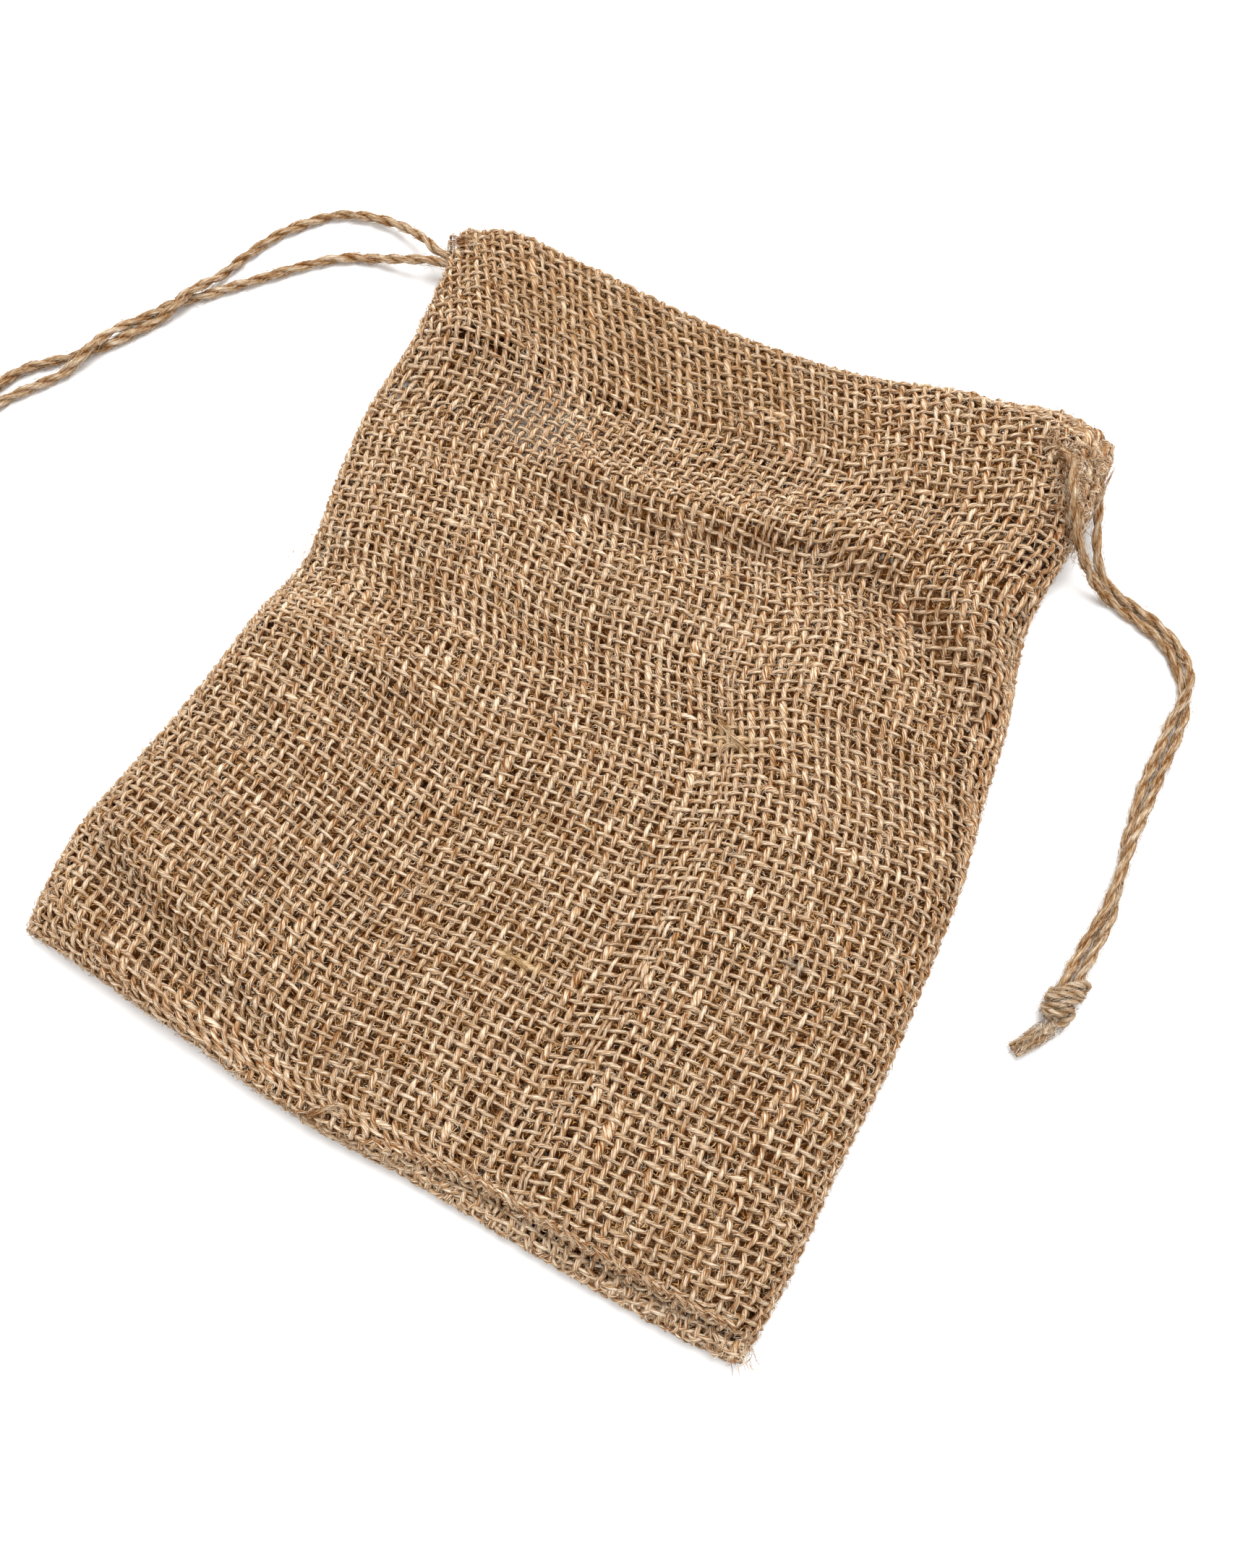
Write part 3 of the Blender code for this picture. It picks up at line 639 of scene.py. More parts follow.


# ================================================================== materials
# Dark, middle and pale colour of the yarns, of the twine and of fibres deep in the cloth; the last are darker
# and browner, painted shade in the openings
JUTE_COLOURS = ((0.19, 0.055, 0.008), (0.49, 0.302, 0.152), (0.86, 0.72, 0.55))
TWINE_COLOURS = ((0.17, 0.062, 0.014), (0.40, 0.262, 0.142), (0.72, 0.62, 0.50))
GAP_SHADE_COLOURS = ((0.17, 0.046, 0.004), (0.41, 0.198, 0.058), (0.70, 0.44, 0.20))
YARN_STOPS = (0.14, 0.50, 0.92)    # tones at which a yarn has these colours
FIBRE_STOPS = (0.18, 0.46, 0.80)
YARN_TONE = 0.18
OUTER_WEAR_AND_LIGHT = 0.15          # how much paler a strand's outer side is and darker its inner side: partly bleached and rubbed, partly painted highlight outside and painted shade inside
FIBRE_TURN = 7.0           # length in which a fibre winds once round its yarn
STREAK_STRETCH = 0.2
# Noise patterns, as scale, detail and roughness: streaks and bands on a yarn, patches on
# the cloth, tones of single fibres, and ragged edges of marks
STREAKS = (2.6, 3.0, 0.65)
BANDS, BAND_TONE = (1.4, 1.0), 0.25
PATCHES, PATCH_TONE = (38.0, 2.0), 0.08
FIBRE_TONES = (300.0, 1.0)
RAGGED, RAGGED_SHARE = (600.0, 2.0), 0.9
MARK_EDGE = (1.5, 0.9)     # a mark starts and is full here, in its half sizes
# Marks on the cloth: name, middle, half sizes, colour, strength
MARKS = (
    # painted light: a pale grey patch low in the cloth, for the white table seen through the weave
    ("painted_table_light", (-35.0, 45.5, 0.0), (11.5, 8.5, 5.5), (0.62, 0.55, 0.46), 0.9),
    ("grey_stain", (47.6, -26.1, 11.0), (3.0, 1.4, 6.0), (0.20, 0.17, 0.14), 0.4),
    # painted shade: the casing darkened and browned where it gets less light
    ("painted_casing_shade", (-22.0, 68.0, 9.0), (46.0, 15.0, 16.0), (0.34, 0.185, 0.075), 0.3),
    ("yellow_slub", (9.0, -44.4, 9.0), (6.0, 2.2, 6.0), (0.52, 0.33, 0.12), 0.4),
    ("pink_slub", (9.6, 57.5, 8.0), (2.2, 1.4, 6.0), (0.52, 0.28, 0.18), 0.5),
    ("gold_tuft", (23.0, 3.6, 9.0), (6.0, 3.4, 6.0), (0.52, 0.35, 0.17), 0.4),
)
# Painted light: the same pale grey patch on the fibres in the openings, for the white table seen through
DEEP_MARKS = (("painted_light_in_gaps", (-35.0, 45.5, 5.0), (12.0, 9.0, 8.0), (0.58, 0.50, 0.41), 0.65),)


class Shading:
    """A material, with short names for making its nodes and links."""

    def __init__(self, name, roughness, specular=0.5):
        self.material = bpy.data.materials.new(name)
        self.material.use_nodes = True
        self.nodes = self.material.node_tree.nodes
        self.links = self.material.node_tree.links
        self.sockets = self.nodes["Principled BSDF"].inputs
        self.sockets["Roughness"].default_value = roughness
        self.sockets["Specular IOR Level"].default_value = specular

    def node(self, kind, **values):
        made = self.nodes.new(kind)
        for key, value in values.items():
            setattr(made, key, value)
        return made

    def feed(self, socket, value):
        if isinstance(value, (int, float, tuple)):
            socket.default_value = value
        else:
            self.links.new(value, socket)

    def maths(self, operation, first, second=0.0):
        made = self.node("ShaderNodeMath", operation=operation)
        self.feed(made.inputs[0], first)
        self.feed(made.inputs[1], second)
        return made.outputs[0]

    def times(self, first, second):
        return self.maths("MULTIPLY", first, second)

    def total(self, first, *others):
        for other in others:
            first = self.maths("ADD", first, other)
        return first

    def noise(self, vector, scale, detail, roughness=0.55):
        made = self.node("ShaderNodeTexNoise")
        self.feed(made.inputs["Vector"], vector)
        self.feed(made.inputs["Scale"], scale)
        self.feed(made.inputs["Detail"], detail)
        self.feed(made.inputs["Roughness"], roughness)
        return made.outputs["Fac"]

    def place(self):
        return self.node("ShaderNodeTexCoord").outputs["Object"]

    def tone(self):
        return self.node("ShaderNodeAttribute", attribute_name="tone").outputs["Fac"]

    def ramp(self, value, stops, colours):
        made = self.node("ShaderNodeValToRGB")
        elements = made.color_ramp.elements
        while len(elements) < len(stops):
            elements.new(0.5)
        for element, position, colour in zip(elements, stops, colours):
            element.position = position
            element.color = (*colour, 1.0)
        self.feed(made.inputs["Fac"], value)
        return made.outputs["Color"]

    def blend(self, share, first, second):
        made = self.node("ShaderNodeMix", data_type="RGBA")
        self.feed(made.inputs[0], share)
        self.feed(made.inputs[6], first)
        self.feed(made.inputs[7], second)
        return made.outputs[2]

    def mark_share(self, place, middle, half_sizes):
        """1 in the middle of a mark, 0 outside it, with a ragged edge."""
        centred = self.node("ShaderNodeMapping", vector_type="TEXTURE")
        centred.inputs["Location"].default_value = [value * MM for value in middle]
        centred.inputs["Scale"].default_value = [value * MM for value in half_sizes]
        self.feed(centred.inputs["Vector"], place)
        length = self.node("ShaderNodeVectorMath", operation="LENGTH")
        self.feed(length.inputs[0], centred.outputs[0])
        ragged = self.times(self.noise(place, *RAGGED), RAGGED_SHARE)
        spread = self.node("ShaderNodeMapRange", interpolation_type="SMOOTHSTEP")
        self.feed(spread.inputs["Value"], self.total(length.outputs["Value"], ragged))
        self.feed(spread.inputs["From Min"], MARK_EDGE[0])
        self.feed(spread.inputs["From Max"], MARK_EDGE[1])
        return spread.outputs["Result"]

    def colour_it(self, value, stops, colours, marks):
        place = self.place()
        colour = self.ramp(value, stops, colours)
        for _name, middle, half_sizes, mark, strength in marks:
            share = self.times(self.mark_share(place, middle, half_sizes), strength)
            colour = self.blend(share, colour, (*mark, 1.0))
        self.feed(self.sockets["Base Color"], colour)


def jute_material(name, colours, contrast, marks=()):
    """Jute: fibres wind round the strand, some paler, with dirt and shadow between them."""
    shade = Shading(name, 0.85, 0.03)
    lay = shade.node("ShaderNodeUVMap", uv_map="lay")
    split = shade.node("ShaderNodeSeparateXYZ")
    shade.feed(split.inputs[0], lay.outputs["UV"])
    around, reach = split.outputs["X"], split.outputs["Y"]
    turn = shade.total(around, shade.maths("DIVIDE", reach, FIBRE_TURN))
    angle = shade.times(turn, 2 * math.pi)
    wound = shade.node("ShaderNodeCombineXYZ")
    shade.feed(wound.inputs["X"], shade.maths("COSINE", angle))
    shade.feed(wound.inputs["Y"], shade.maths("SINE", angle))
    shade.feed(wound.inputs["Z"], shade.times(reach, STREAK_STRETCH))
    streaks = shade.noise(wound.outputs[0], *STREAKS)
    # A strand's outer side is painted paler and its inner side darker: painted highlight and painted shade,
    # with some wear
    outer_side = shade.maths("SINE", shade.times(around, 2 * math.pi))
    value = shade.total(
        shade.times(shade.maths("SUBTRACT", streaks, 0.5), contrast),
        shade.times(shade.noise(wound.outputs[0], *BANDS), BAND_TONE),
        shade.times(shade.noise(shade.place(), *PATCHES), PATCH_TONE),
        shade.times(outer_side, OUTER_WEAR_AND_LIGHT),
        shade.tone(),
        YARN_TONE,
    )
    shade.colour_it(value, YARN_STOPS, colours, marks)
    bump = shade.node("ShaderNodeBump")
    shade.feed(bump.inputs["Strength"], 0.9)
    shade.feed(bump.inputs["Distance"], 0.3 * MM)
    shade.feed(bump.inputs["Height"], streaks)
    shade.feed(shade.sockets["Normal"], bump.outputs["Normal"])
    return shade.material


def fibre_material(name, colours, marks=()):
    """Single fibres, each with its own tone."""
    shade = Shading(name, 0.6, 0.04)
    value = shade.total(shade.noise(shade.place(), *FIBRE_TONES), shade.tone())
    shade.colour_it(value, FIBRE_STOPS, colours, marks)
    return shade.material


HESSIAN = jute_material("hessian_yarn", JUTE_COLOURS, 3.4, MARKS)
TWINE = jute_material("twine_ply", TWINE_COLOURS, 2.0)
FIBRE = fibre_material("jute_fibre", JUTE_COLOURS, MARKS)
TWINE_FIBRE = fibre_material("twine_fibre", TWINE_COLOURS)
# Fibres in the openings, darker and browner: painted shade
GAP_SHADE_FIBRE = fibre_material("jute_gap_shade_fibre", GAP_SHADE_COLOURS, DEEP_MARKS)


# ================================================================== drawstrings
def pair_routes(rows):
    """Centre lines of the left and the right strand of a pair."""
    rows = np.array(rows, float)
    middle = rows[:, :2]
    leftward = run_along(middle)[:, ::-1] * (-1.0, 1.0)
    routes = []
    for strand, side in enumerate((1.0, -1.0)):
        turn = np.radians(rows[:, 3])
        half = PAIR_SNUG * rows[:, 2]
        place = middle + side * (half * np.cos(turn))[:, None] * leftward
        height = rows[:, 4 + strand] + half * (np.abs(np.sin(turn)) + side * np.sin(turn))
        routes.append(np.column_stack((place, height)))
    return routes


def even_points(route, step):
    line = curve_through(route, 16)
    reach = reach_along(line)
    places = np.linspace(0.0, reach[-1], max(2, round(reach[-1] / step)) + 1)
    return np.array([np.interp(places, reach, line[:, axis]) for axis in range(3)]).T


def lay_plies(strand, line, out, turn_length, radius, spread, tone=0.0):
    """Two plies laid round each other along a line, where out points away from it."""
    run = run_along(line)
    out = square_to(run, out)
    side = np.cross(run, out)
    reach = reach_along(line)
    turn = 2 * math.pi * (reach / turn_length + random.uniform())
    for half in (0.0, math.pi):
        away = turned(turn + half, out, side)
        width = radius * (1.0 + wander(reach, PLY_WIDTH_WAVES))
        own_tone = tone + random.normal(0.0, PLY_TONE_STRAY) + wander(reach, PLY_TONE_WAVES)
        strand.add(line + np.reshape(spread, (-1, 1)) * away, away, width, PLY_HEIGHT * width, own_tone)


def fuzz_round(fibres, line, radius, per_mm, length, lift):
    """Loose fibres that leave a twine at a slant."""
    count = int(reach_along(line)[-1] * per_mm)
    at = random.integers(0, len(line), count)
    run = run_along(line)[at]
    level, upward = level_and_upward(run)
    away = turned(random.uniform(0.0, 2 * math.pi, count), level, upward)
    size = length * random.lognormal(0.0, LENGTH_STRAY, count)[:, None]
    way = run * random.choice((-1.0, 1.0), (count, 1))
    twist = random.normal(0.0, 0.35, (count, 1)) * np.cross(run, away)
    lift = np.abs(random.normal(0.0, lift, (count, 1)))
    points = [
        line[at] + size * (step * way + step ** 2 * (twist + lift * away)) + stand * radius * away
        for step, stand in ((0.0, 0.9), (0.5, 1.07), (1.0, 1.0))
    ]
    fibres.add(np.stack(points, axis=1), FUZZ_RADII, FUZZ_TONE)


def inside_lead(start, run, inward):
    """Places of a strand inside the end of the casing, before its route starts."""
    steps = np.array((1.0, 0.45))[:, None]
    bend = np.array((0.5, 0.9))[:, None]
    return start + steps * TWINE_INSIDE * unit(mix(np.array(inward, float), -run, bend))


def make_drawstrings(fibres):
    for (left, right), rows in TWINE_PAIRS.items():
        knot = "knot_left" if "left" in left else "knot_right"
        wraps = make_knot(knot, fibres)
        entry, aside = np.array(KNOT_ENTRY).T
        middle, _run, level, _upward, _wide, _high = knot_axis(entry, KNOTS[knot])
        for node, route, side in zip((left, right), pair_routes(rows), (1.0, -1.0)):
            lead = inside_lead(route[0], unit(route[1] - route[0]), CASING_INWARD[node])
            through = middle - side * aside[:, None] * level
            line = even_points(np.concatenate((lead, route, through)), TWINE_STEP)
            _level, upward = level_and_upward(run_along(line))
            strand = Strands(8)
            lay_plies(strand, line, upward, TWINE_TURN, PLY_RADIUS, PLY_SPREAD)
            for fuzz in TWINE_FUZZ:
                fuzz_round(fibres, line, TWINE_DIAMETER / 2, *fuzz)
            piece = strand.make(node + "_plies", TWINE)
            dress(piece, node)


# ================================================================== knots
def knot_axis(row, place):
    """Middle, run, level and upward directions, half width and half height at rows of a knot."""
    table = np.array(KNOT_AXIS)

    def read(row):
        return np.array([np.interp(row, np.arange(len(table)), column) for column in table.T]).T

    values = read(row)
    run = unit(read(row + 0.5)[:, :3] - read(row - 0.5)[:, :3])
    level, upward = level_and_upward(run)
    return values[:, :3] + (*place, 0.0), run, level, upward, values[:, 3], values[:, 4]


def beside(middle, level, upward, across, rise):
    return middle + across[:, None] * level + rise[:, None] * upward


def wrap_knot(strand, place):
    """Turns of twine round the knot, tucked in at both ends; returns their line."""
    share = np.linspace(0.0, 1.0, 130)
    middle, run, level, upward, wide, high = knot_axis(mix(*WRAP_ROWS, share), place)
    angle = 2 * math.pi * KNOT_WRAPS * share + KNOT_START
    tucked = smooth_step(share / 0.10) * smooth_step((1.0 - share) / 0.10)
    tight = mix(0.25, 1.0, tucked) * KNOT_SNUG
    across = tight * (wide - 0.5) * np.cos(angle)
    rise = tight * (high - 0.5) * np.sin(angle)
    slant = (mix(*KNOT_SLANT, share) + wander(share, ((0.09, 0.35),))) * tucked * np.cos(angle)
    wrap = beside(middle, level, upward, across, rise) + slant[:, None] * run
    lay_plies(strand, wrap, turned(angle, level, upward), *WRAP_PLIES, KNOT_TONE)
    return wrap


def lay_lead(strand, place):
    """A twine that comes out under the wraps and runs into the tail."""
    share = np.linspace(0.0, 1.0, 40)
    middle, _run, level, upward, wide, high = knot_axis(mix(*LEAD_ROWS, share), place)
    angle = np.radians(mix(*LEAD_FACES, smooth_step(share / 0.75)))
    rest = smooth_step((share - 0.4) / 0.4)
    across = mix(wide * KNOT_SNUG - 0.5, 0.3 * wide, rest) * np.cos(angle)
    rise = mix(high * KNOT_SNUG - 0.3, 0.35 * high, rest) * np.sin(angle)
    lay_plies(strand, beside(middle, level, upward, across, rise), upward, *LEAD_PLIES, KNOT_TONE)


def lay_tail(strand, fibres, place):
    """Two ends of twine wound round each other."""
    reach = np.linspace(0.0, 1.0, 44)
    middle, _run, level, upward, _wide, _high = knot_axis(mix(*TAIL_ROWS, reach), place)
    narrow = 1.0 - 0.12 * smooth_step((reach - 0.65) / 0.35)
    turn_length, radius, spread = TAIL_PLIES
    for half in (0.0, math.pi):
        away = turned(half + TAIL_START + TAIL_TURN * reach, level, 0.6 * upward)
        tail = middle + (TAIL_SPREAD * narrow)[:, None] * away
        lay_plies(strand, tail, away, turn_length, radius * narrow, spread * narrow, KNOT_TONE)
        fuzz_round(fibres, tail, 0.8, *TAIL_FUZZ)


def fray_tail(fibres, place):
    """Loose fibres along the tail, drawn together at its cut end."""
    count = FRAYED
    start = random.uniform(*FRAYED_STARTS, count)
    longest = start + random.uniform(*FRAYED_LENGTHS, count)
    end = np.minimum(longest, random.uniform(*FRAYED_ENDS, count))
    angle = random.uniform(0.0, 2 * math.pi, count)
    points = []
    for step, bulge in zip(np.linspace(0.0, 1.0, len(FRAYED_BULGES)), FRAYED_BULGES):
        row = mix(start, end, step)
        middle, _run, level, upward, wide, high = knot_axis(row, place)
        turn = angle + 0.9 * step + random.normal(0.0, 0.08, count)
        out = bulge * (1.0 - 0.4 * smooth_step((row - 8.2) / 2.0))
        points.append(beside(middle, level, upward, out * wide * np.cos(turn), out * high * np.sin(turn)))
    fibres.add(np.stack(points, axis=1), FRAY_RADII)


def make_knot(node, fibres):
    """Two twines tied in one knot: wraps round a core, and a cut tail that frays."""
    strand = Strands(8)
    place = KNOTS[node]
    wrap = wrap_knot(strand, place)
    lay_lead(strand, place)
    lay_tail(strand, fibres, place)
    fray_tail(fibres, place)
    fuzz_round(fibres, wrap, 0.7, *WRAP_FUZZ)
    fuzz_round(fibres, wrap[20:-20], 0.7, *WRAP_HAIRS)
    piece = strand.make(node + "_wraps", TWINE)
    dress(piece, node)
    return piece


# ================================================================== the sack's skin
def casing_share(x, y):
    """0 on the single cloth, 1 on the folded casing."""
    return smooth_step((y - casing_line(x)) / CASING_EASE + 0.5)


def mouth_share(y):
    return smooth_step((y - MOUTH_RISE_FROM) / MOUTH_RISE_LENGTH)


def lip_share(x):
    low, high = SEAM_LIP_START
    return smooth_step((x - low) / (high - low))


def front_height(x, y):
    """Height of the front panel's skin above the surface that the sack lies on."""
    swell = np.full(np.shape(x), PUFF)
    for _name, height, width, line in FOLDS:
        swell = swell + height * np.exp(-((distance_to_line(x, y, line) / width) ** 2))
    above = swell - LOWEST
    swell = LOWEST + 0.5 * (above + np.hypot(above, LOWEST_EASE))
    lip = lip_share(x)
    to_side = np.minimum(x - left_side(y), right_side(y) - x) - SIDE_BULGE
    to_seam = y - bottom_seam(x) - SEAM_LIP * lip
    side_edge = SIDE_HEIGHT + MOUTH_SIDE_RISE * mouth_share(y)
    seam_edge = mix(SIDE_HEIGHT, SEAM_LIP_HEIGHT, lip)
    depth, width = SEAM_GROOVE
    groove = depth * lip * np.exp(-((to_seam / width) ** 2))
    side_rise = rounded_rise(to_side, mix(SIDE_RISE_WIDTH, MOUTH_RISE_WIDTH, mouth_share(y)))
    seam_rise = rounded_rise(to_seam, mix(SEAM_RISE_WIDTH, SEAM_ROLL_WIDTH, lip))
    height = mix(seam_edge, mix(side_edge, swell, side_rise), seam_rise)
    return height - groove + CASING_STEP * casing_share(x, y)


def panel_place(across, along, mouth):
    """Place on a panel, from shares across and along it."""
    low_x = mix(LEFT_SIDE[1][1], RIGHT_SIDE[1][1], across)
    high_x = mix(LEFT_SIDE[-1][1], RIGHT_SIDE[-1][1], across)
    y = mix(bottom_seam(low_x) + SEAM_TURN, mouth(high_x) - CASING_LAYERS / 2, along)
    left, right = left_side(y) + SIDE_BULGE, right_side(y) - SIDE_BULGE
    return mix(left, right, across), y


def cloth(warp, row):
    """Middle of the cloth at a place on the ring of warps and a row of wefts."""
    warp = np.mod(warp, RING)
    seam_angle = math.pi / 2 * (1.0 - np.clip(row / BOTTOM_ROWS, 0.0, 1.0))
    mouth_angle = math.pi * np.clip((row - MOUTH_ROW) / TURN_ROWS, 0.0, 1.0)
    inner = np.maximum(row - INNER_START, 0.0)
    along = (np.clip(row, BOTTOM_ROWS, MOUTH_ROW) - BOTTOM_ROWS - inner) / BODY_ROWS
    depth = CLOTH_DEPTH + CASING_LAYERS / 2 * (1.0 - np.cos(mouth_angle))
    reach = CASING_LAYERS / 2 * np.sin(mouth_angle) - (SEAM_TURN - CLOTH_DEPTH) * np.sin(seam_angle)

    is_left = warp > BACK_END
    front_across = np.where(is_left, 0.0, np.clip(warp / FRONT_WARPS, 0.0, 1.0))
    back_across = np.clip((BACK_END - warp) / FRONT_WARPS, 0.0, 1.0)
    front_x, front_y = panel_place(front_across, along, front_mouth)
    back_x, back_y = panel_place(back_across, along, back_mouth)
    middle = SIDE_HEIGHT / 2
    front_z = mix(middle, front_height(front_x, front_y) - depth, np.cos(seam_angle))
    back_z = mix(middle, depth, np.cos(seam_angle))

    right_turn = np.clip((warp - FRONT_WARPS) / SIDE_WARPS, 0.0, 1.0)
    left_turn = 1.0 - (warp - BACK_END) / SIDE_WARPS
    turn = math.pi * np.where(is_left, left_turn, right_turn)
    share = 0.5 - 0.5 * np.cos(turn)
    outward = np.where(is_left, -1.0, 1.0) * (SIDE_BULGE - depth) * np.sin(turn)
    x = mix(front_x, back_x, share) + outward
    y = mix(front_y, back_y, share) + reach
    z = mix(front_z, back_z, share)
    return np.stack((x, y, z), axis=-1)


def cloth_frame(warp, row):
    """The cloth's middle, its outward direction, and its directions across and along."""
    place = cloth(warp, row)
    across = unit(cloth(warp + 0.2, row) - cloth(warp - 0.2, row))
    along = unit(cloth(warp, row + 0.25) - cloth(warp, row - 0.25))
    return place, unit(np.cross(across, along)), across, along


# ================================================================== weave
def warp_drift(warp, row):
    """How far the warps have slid round the sack at a place, in warps."""
    place = cloth(warp, np.clip(row, 0, MOUTH_ROW))
    x = np.clip(place[..., 0], -DRIFT_REACH, DRIFT_REACH)
    height = place[..., 1] - casing_line(x)
    drift = 0.0
    for _name, leans, foot, head, lower in LEANS:
        lean = np.interp(x, LEAN_PLACES, leans)
        sunk = height + lower * np.interp(x, (LEAN_PLACES[0], LEAN_PLACES[-1]), (0.0, 1.0))
        passed = np.mean([np.clip(sunk + soft, foot, head) - foot for soft in LEAN_SOFTNESS], axis=0)
        drift = drift - np.tan(np.radians(lean)) * passed
    return drift / WARP_PITCH


def weft_climb(x, y):
    """How far a weft has climbed at x, in millimetres."""
    climb = 0.0
    for _name, slope, start, end, low, high in WEFT_BENDS:
        passed = np.clip(x, start, end) - min(max(WEFT_ANCHOR, start), end)
        here = smooth_step((y - low) / WEFT_EASE + 0.5) * smooth_step((high - y) / WEFT_EASE + 0.5)
        climb = climb + math.tan(math.radians(slope)) * passed * here
    return climb


def weft_drift(warp, row):
    """How far a weft strays from its row at a place, in rows."""
    warp = np.mod(warp, RING)
    place = cloth(warp, np.clip(row, 0, MOUTH_ROW))
    y = place[..., 1]
    round_back = np.clip((warp - BACK_START) / FRONT_WARPS, 0.0, 1.0)
    front = weft_climb(np.where(warp > BACK_START, -DRIFT_REACH, place[..., 0]), y)
    right_end, left_end = weft_climb(DRIFT_REACH, y), weft_climb(-DRIFT_REACH, y)
    back = mix(right_end, left_end, round_back)
    climb = np.where((warp > BACK_START) & (warp < BACK_END), back, front)
    folded = np.clip((row - MOUTH_ROW) / TURN_ROWS, 0.0, 1.0)
    return climb / WEFT_PITCH * (1.0 - folded)


def slubs(places):
    """Thick soft stretches of a yarn, as a share to add to its width."""
    thick = np.zeros(len(places))
    start, end = places.min(), places.max()
    for _slub in range(random.poisson(SLUBS_PER_MM * (end - start))):
        centre = random.uniform(start, end)
        length = random.uniform(*SLUB_LENGTHS)
        thick += random.uniform(*SLUB_SHARES) * np.exp(-(((places - centre) / length) ** 2))
    return thick


def placed_slubs(kind, line, places):
    """The same for the slubs of the table that lie on this yarn."""
    thick = np.zeros(len(places))
    for slub_kind, x, y, length, share in SLUBS:
        away = np.hypot(line[:, 0] - x, line[:, 1] - y)
        nearest = np.argmin(away)
        if slub_kind == kind and line[nearest, 2] > SIDE_HEIGHT and away[nearest] < WEFT_PITCH / 2:
            thick += share * np.exp(-(((places - places[nearest]) / length) ** 2))
    return thick


def uneven(kind, line, places, half_width):
    """Half width, half thickness and tone of an unevenly spun yarn."""
    whole = random.uniform(*YARN_WIDTHS)
    width = whole * (1.0 + wander(places, WIDTH_WAVES) + slubs(places) + placed_slubs(kind, line, places))
    width = np.clip(width, *YARN_EXTREMES)
    thick = YARN_HALF_THICK * (1.0 + THICKER_WITH_WIDTH * (width - 1.0))
    tone = random.normal(0.0, YARN_TONE_STRAY) + wander(places, TONE_WAVES)
    return half_width * width, thick, tone


def spin_yarn(kind, warps, rows, swing, steps, pitch, half_width, tone):
    """A yarn's line, outward direction, half width, half thickness and tone, for Strands.add."""
    place, out, _across, _along = cloth_frame(warps, rows)
    line = place + (CRIMP * swing * (1.0 + wander(steps, CRIMP_WAVES)))[:, None] * out
    width, thick, own_tone = uneven(kind, line, steps * pitch, half_width)
    # A yarn's crests are painted paler and its dips darker: painted highlight and painted shade
    return line, out, width, thick, own_tone + tone + CREST_TONE * swing


def weave_warps(name, numbers, rows, sides, half_width, tone=0.0):
    strands = Strands(sides)
    for number in numbers:
        doubled = number == DOUBLED_WARP
        width = half_width * (DOUBLED_WIDTH if doubled else 1.0)
        for spot in (-DOUBLED_SPREAD, DOUBLED_SPREAD) if doubled else (0.0,):
            base = number + spot + random.normal(0.0, YARN_STRAY) + wander(rows, PLACE_WAVES)
            warps = base
            for _pass in range(4):
                warps = base + warp_drift(warps, rows)
            swing = np.cos(math.pi * (rows - weft_drift(warps, rows) + number))
            strands.add(*spin_yarn("warp", warps, rows, swing, rows, WEFT_PITCH, width, tone))
    return strands.make(name, HESSIAN)


def weave_wefts(name, numbers, top_row, warps, sides, half_width, tone=0.0):
    strands = Strands(sides)
    for number in numbers:
        base = number + random.normal(0.0, YARN_STRAY) + wander(warps, PLACE_WAVES)
        rows = base
        for _pass in range(6):
            rows = base + weft_drift(warps, rows)
        swing = -np.cos(math.pi * (warps - warp_drift(warps, rows) + number))
        yarn = spin_yarn("weft", warps, rows, swing, warps, WARP_PITCH, half_width, tone)
        inside = np.flatnonzero((rows > 0.2) & (rows < top_row))
        for part in np.split(inside, np.flatnonzero(np.diff(inside) > 1) + 1):
            if len(part) > 4:
                strands.add(*(values[part] for values in yarn))
    return strands.make(name, HESSIAN)


# ================================================================== loose fibres
def bent_fibres(place, out, way, half, bows, lifts):
    """Fibres of three points, each with its own shift sideways and its own height."""
    side = np.cross(out, way)
    points = [
        place + step * half * way + bow * side + lift * out
        for step, bow, lift in zip((-1.0, 0.0, 1.0), bows, lifts)
    ]
    return np.stack(points, axis=1)


def lay_on_cloth(fibres, count, warps, rows, length, lifts, tone):
    """Loose fibres that lie along or across the cloth."""
    warp, row = random.uniform(*warps, count), random.uniform(*rows, count)
    place, out, across, along = cloth_frame(warp, row)
    angle = random.choice((0.0, math.pi / 2), count) + random.normal(0.0, 0.5, count)
    angle = angle + random.choice((0.0, math.pi), count)
    half = 0.5 * length * random.lognormal(0.0, LENGTH_STRAY, count)[:, None]
    bow = random.normal(0.0, 0.26, (count, 1)) * half
    lifts = [random.uniform(*pair, (count, 1)) for pair in lifts]
    way = turned(angle, across, along)
    fibres.add(bent_fibres(place, out, way, half, (-bow, bow, -bow), lifts), LOOSE_RADII, tone)


